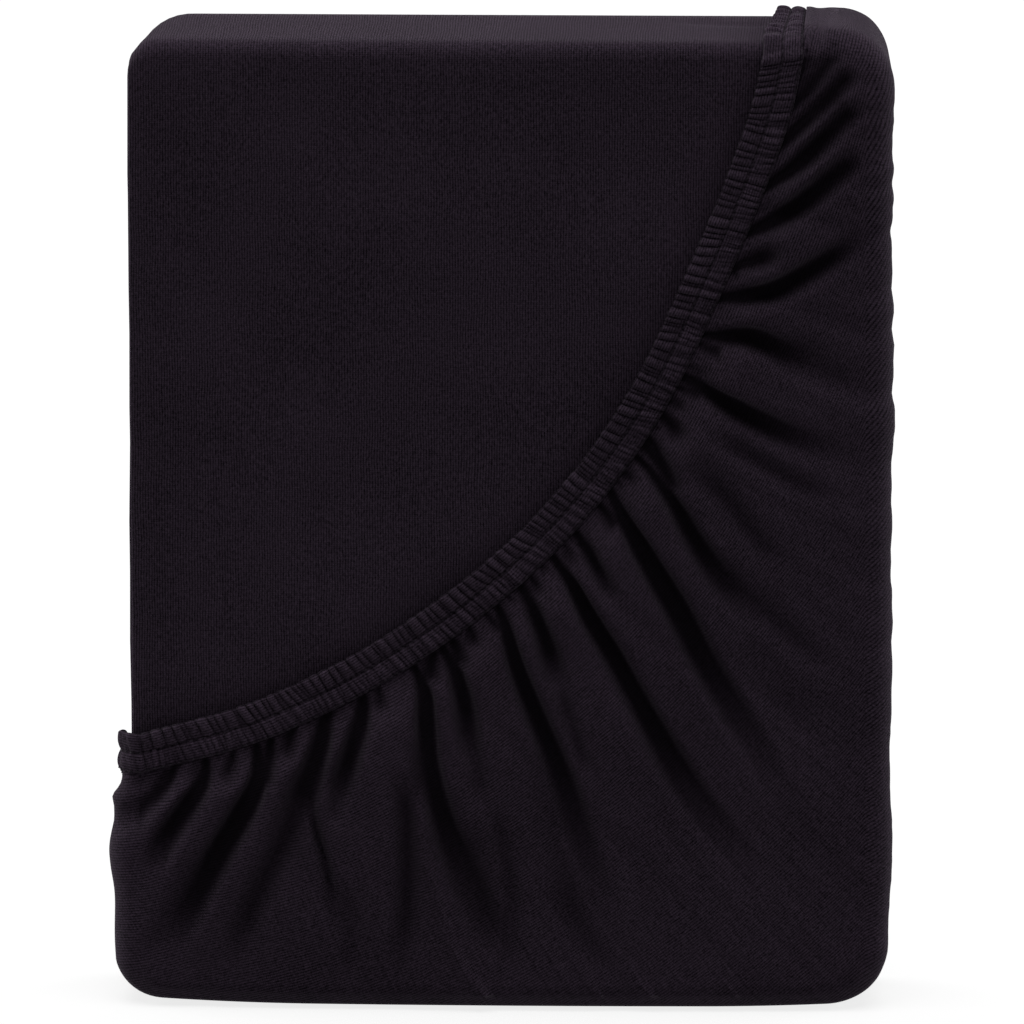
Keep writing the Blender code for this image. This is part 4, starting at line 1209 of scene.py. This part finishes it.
def jersey():
    """Near-black cotton jersey with a slight purple cast: knit lines, flecks and fuzz, with
    painted shade and painted highlights read from the mesh.
    """
    nodes = Nodes("black_jersey")
    knit = nodes.add("ShaderNodeUVMap", uv_map="knit").outputs["UV"]
    place = nodes.add("ShaderNodeTexCoord").outputs["Object"]
    wobble = nodes.noise(nodes.scaled(knit, WALE_WANDER_SCALE), 1.0, 2.0)
    split = nodes.add("ShaderNodeSeparateXYZ")
    nodes.link(knit, split.inputs["Vector"])
    across = nodes.math("MULTIPLY_ADD", wobble, WALE_WANDER, split.outputs["X"])
    wale = nodes.math("MULTIPLY", across, math.pi / WALE_PITCH)
    ridge = nodes.math("ABSOLUTE", nodes.math("SINE", wale))
    lean = nodes.math("MULTIPLY", ridge, STITCH_LEAN)
    course = nodes.math("MULTIPLY_ADD", split.outputs["Y"], 2.0 * math.pi / COURSE_PITCH, lean)
    loop = nodes.math("MULTIPLY_ADD", nodes.math("SINE", course), 0.5, 0.5)
    loop = nodes.math("MULTIPLY_ADD", loop, 1.0 - STITCH_LOW, STITCH_LOW)
    stitch = nodes.math("MULTIPLY", ridge, loop)
    flecks = nodes.noise(nodes.scaled(knit, FLECK_SCALE), 1.0, 3.0, 0.65)
    fuzz = nodes.noise(nodes.scaled(place, (FUZZ_SCALE,) * 3), 1.0, 3.0, 0.7)
    grain = nodes.noise(nodes.scaled(place, (GRAIN_SCALE,) * 3), 1.0, 2.0, 0.6)
    cloud = nodes.noise(nodes.scaled(place, (CLOUD_SCALE,) * 3), 1.0, 3.0)

    plain = TONE - STITCH_MEAN * STITCH_CONTRAST
    tone = nodes.math("MULTIPLY_ADD", stitch, STITCH_CONTRAST, plain)
    for pattern, contrast in ((flecks, FLECK_CONTRAST), (grain, GRAIN_CONTRAST),
                              (cloud, CLOUD_CONTRAST)):
        swing = nodes.math("SUBTRACT", pattern, 0.5)
        tone = nodes.math("MULTIPLY_ADD", swing, contrast, tone)
    # Painted light from the mesh: painted shade in the folds, clefts, needle holes and beside the
    # hem, and painted highlights on the hem's rolls, darken or lighten the colour.
    openness = nodes.add("ShaderNodeAttribute", attribute_name="open").outputs["Fac"]
    openness = nodes.math("POWER", openness, SHADE_FORM)
    painted_shade = nodes.math("MULTIPLY_ADD", openness, 1.0 - FOLD_PAINTED_SHADE, FOLD_PAINTED_SHADE)
    nodes.colour(JERSEY_DARK, JERSEY_LIGHT, nodes.math("MULTIPLY", tone, painted_shade))

    height = nodes.math("MULTIPLY", flecks, FLECK_RELIEF)
    height = nodes.math("MULTIPLY_ADD", fuzz, FUZZ_RELIEF, height)
    height = nodes.math("ADD", stitch, height)
    nodes.relief(height, 0.45, 0.22 * METRE)

    rough = nodes.math("MULTIPLY_ADD", flecks, 0.12, 0.84)
    nodes.link(rough, nodes.shader.inputs["Roughness"])
    return nodes.done({"Specular IOR Level": 0.02, "Sheen Weight": 0.03,
                       "Sheen Roughness": 0.45, "Sheen Tint": (0.80, 0.70, 0.82, 1.0)})


def thread():
    """Sewing thread of the same colour, smoother than the cloth, with its twist."""
    nodes = Nodes("black_thread")
    place = nodes.add("ShaderNodeTexCoord").outputs["Object"]
    twist = nodes.add("ShaderNodeTexWave", wave_type="BANDS", bands_direction="DIAGONAL")
    nodes.link(nodes.scaled(place, (TWIST_SCALE,) * 3), twist.inputs["Vector"])
    twist.inputs["Scale"].default_value = 1.0
    nodes.relief(twist.outputs["Fac"], 0.5, 0.08 * METRE)
    nodes.colour(JERSEY_DARK, THREAD_COLOUR, twist.outputs["Fac"])
    return nodes.done({"Roughness": 0.7, "Specular IOR Level": 0.05})


def studio_white():
    """Matt studio floor, lit from below like a light table, with a faint unevenness."""
    nodes = Nodes("studio_white")
    place = nodes.add("ShaderNodeTexCoord").outputs["Object"]
    cloud = nodes.noise(nodes.scaled(place, (FLOOR_CLOUD_SCALE,) * 3), 1.0, 2.0)
    nodes.colour(FLOOR_COLOUR, [FLOOR_CLOUD * part for part in FLOOR_COLOUR], cloud)
    return nodes.done({"Roughness": 1.0, "Specular IOR Level": 0.0,
                       "Emission Color": (1.0, 1.0, 1.0, 1.0),
                       "Emission Strength": FLOOR_GLOW})


# ---- putting it together ----
def place_on_frame(solids):
    """Moves the bmeshes, still in millimetres, so that together they stand on the CAD box."""
    low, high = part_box(CAD_NODE)
    everything = [vertex.co for solid in solids for vertex in solid.verts]
    shift = Vector((0.0, 0.0, 0.0))
    for axis in (0, 1):
        mine = (min(co[axis] for co in everything) + max(co[axis] for co in everything)) / 2
        shift[axis] = (low[axis] + high[axis]) / 2 / METRE - mine
    shift.z = low[2] / METRE - min(co.z for co in everything)
    for solid in solids:
        for vertex in solid.verts:
            vertex.co = (vertex.co + shift) * METRE


def add_piece(name, solid, material):
    mesh = bpy.data.meshes.new(name)
    solid.to_mesh(mesh)
    solid.free()
    mesh.materials.append(material)
    mesh.set_sharp_from_angle(angle=math.radians(SHARP_ANGLE))
    piece = bpy.data.objects.new(name, mesh)
    bpy.context.collection.objects.link(piece)
    return piece


def make_object():
    upper, lower = Puffs(UPPER_PITCH, seed=21), Puffs(LOWER_PITCH, seed=34)
    main = Cloth()
    ends = make_skirt(main, lower)
    top_row = make_stack(main, ends[-1])
    main.face(top_row + list(reversed(ends))[1:])
    band = Cloth()
    make_band(band, upper, lower)
    main_solid, band_solid, sewing = main.solid(), band.solid(), make_sewing(upper, lower)
    relax_back(main_solid)
    place_on_frame([main_solid, band_solid, sewing])
    cloth = jersey()
    sheet = add_piece("fitted_sheet_cloth", main_solid, cloth)
    hem = add_piece("elastic_hem", band_solid, cloth)
    stitches = add_piece("hem_sewing", sewing, thread())
    return sheet, hem, stitches


FLOOR_HALF = 30.0
FLOOR_COLOUR = (0.08, 0.08, 0.08, 1.0)   # with the strong light and its glow, it shows as white
FLOOR_GLOW = 0.8
FLOOR_CLOUD, FLOOR_CLOUD_SCALE = 1.02, 3.0   # its lightest places, and waves per metre
SKY_STRENGTH = 0.25
LAMPS = (                # name, strength; width, azimuth and elevation in degrees
    ("overhead", 7.2, 60.0, 0.0, 83.2),
    ("left_rear", 5.0, 40.0, -110.0, 12.0),
    ("right_rear", 4.4, 40.0, 113.0, 12.0),
)


def make_floor():
    mesh = bpy.data.meshes.new("studio_floor")
    corners = [(-FLOOR_HALF, -FLOOR_HALF, 0.0), (FLOOR_HALF, -FLOOR_HALF, 0.0),
               (FLOOR_HALF, FLOOR_HALF, 0.0), (-FLOOR_HALF, FLOOR_HALF, 0.0)]
    mesh.from_pydata(corners, [], [(0, 1, 2, 3)])
    mesh.materials.append(studio_white())
    floor = bpy.data.objects.new("studio_floor", mesh)
    bpy.context.collection.objects.link(floor)


def direction(azimuth, elevation):
    """Direction from the part, turned from the front to the right and upwards, in degrees."""
    azimuth, elevation = math.radians(azimuth), math.radians(elevation)
    return Vector((math.sin(azimuth) * math.cos(elevation),
                   -math.cos(azimuth) * math.cos(elevation), math.sin(elevation)))


def make_lights():
    for name, strength, width, azimuth, elevation in LAMPS:
        light = bpy.data.lights.new(name, "SUN")
        light.energy = strength
        light.angle = math.radians(width)
        lamp = bpy.data.objects.new(name, light)
        bpy.context.collection.objects.link(lamp)
        lamp.rotation_euler = direction(azimuth, elevation).to_track_quat("Z", "Y").to_euler()
    world = bpy.data.worlds.new("studio")
    world.use_nodes = True
    world.node_tree.nodes["Background"].inputs["Color"].default_value = (1.0, 1.0, 1.0, 1.0)
    world.node_tree.nodes["Background"].inputs["Strength"].default_value = SKY_STRENGTH
    bpy.context.scene.world = world


CAMERA_AZIMUTH, CAMERA_ELEVATION, CAMERA_DISTANCE = 2.3, 11.8, 5.0
CAMERA_ROLL = -0.14      # degrees
CAMERA_TARGET = Vector((0.0034, 0.0, 0.1583))
PIXEL = 0.0003194        # metres of the pack in one of the photo's pixels
PHOTO_SIZE = 1024
SENSOR = 36.0


def make_camera():
    camera = bpy.data.cameras.new("camera")
    eye = bpy.data.objects.new("camera", camera)
    bpy.context.collection.objects.link(eye)
    away = direction(CAMERA_AZIMUTH, CAMERA_ELEVATION)
    eye.location = CAMERA_TARGET + away * CAMERA_DISTANCE
    roll = Quaternion((0.0, 0.0, 1.0), math.radians(CAMERA_ROLL))
    eye.rotation_euler = ((-away).to_track_quat("-Z", "Y") @ roll).to_euler()
    camera.sensor_width = SENSOR
    camera.lens = SENSOR * CAMERA_DISTANCE / (PHOTO_SIZE * PIXEL)
    camera.clip_end = 50.0
    bpy.context.scene.camera = eye


sheet, hem, stitches = make_object()
for piece in (sheet, hem, stitches):
    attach(piece, "root")
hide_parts(CAD_NODE)
make_floor()
# A sheet for a mattress of 0.90 x 2.00 m, 0.25 m deep: the cut is 1.40 x 2.50 m less a square
# of 0.25 m at each corner.
make_lights()
make_camera()
bpy.context.scene.view_settings.view_transform = "Standard"
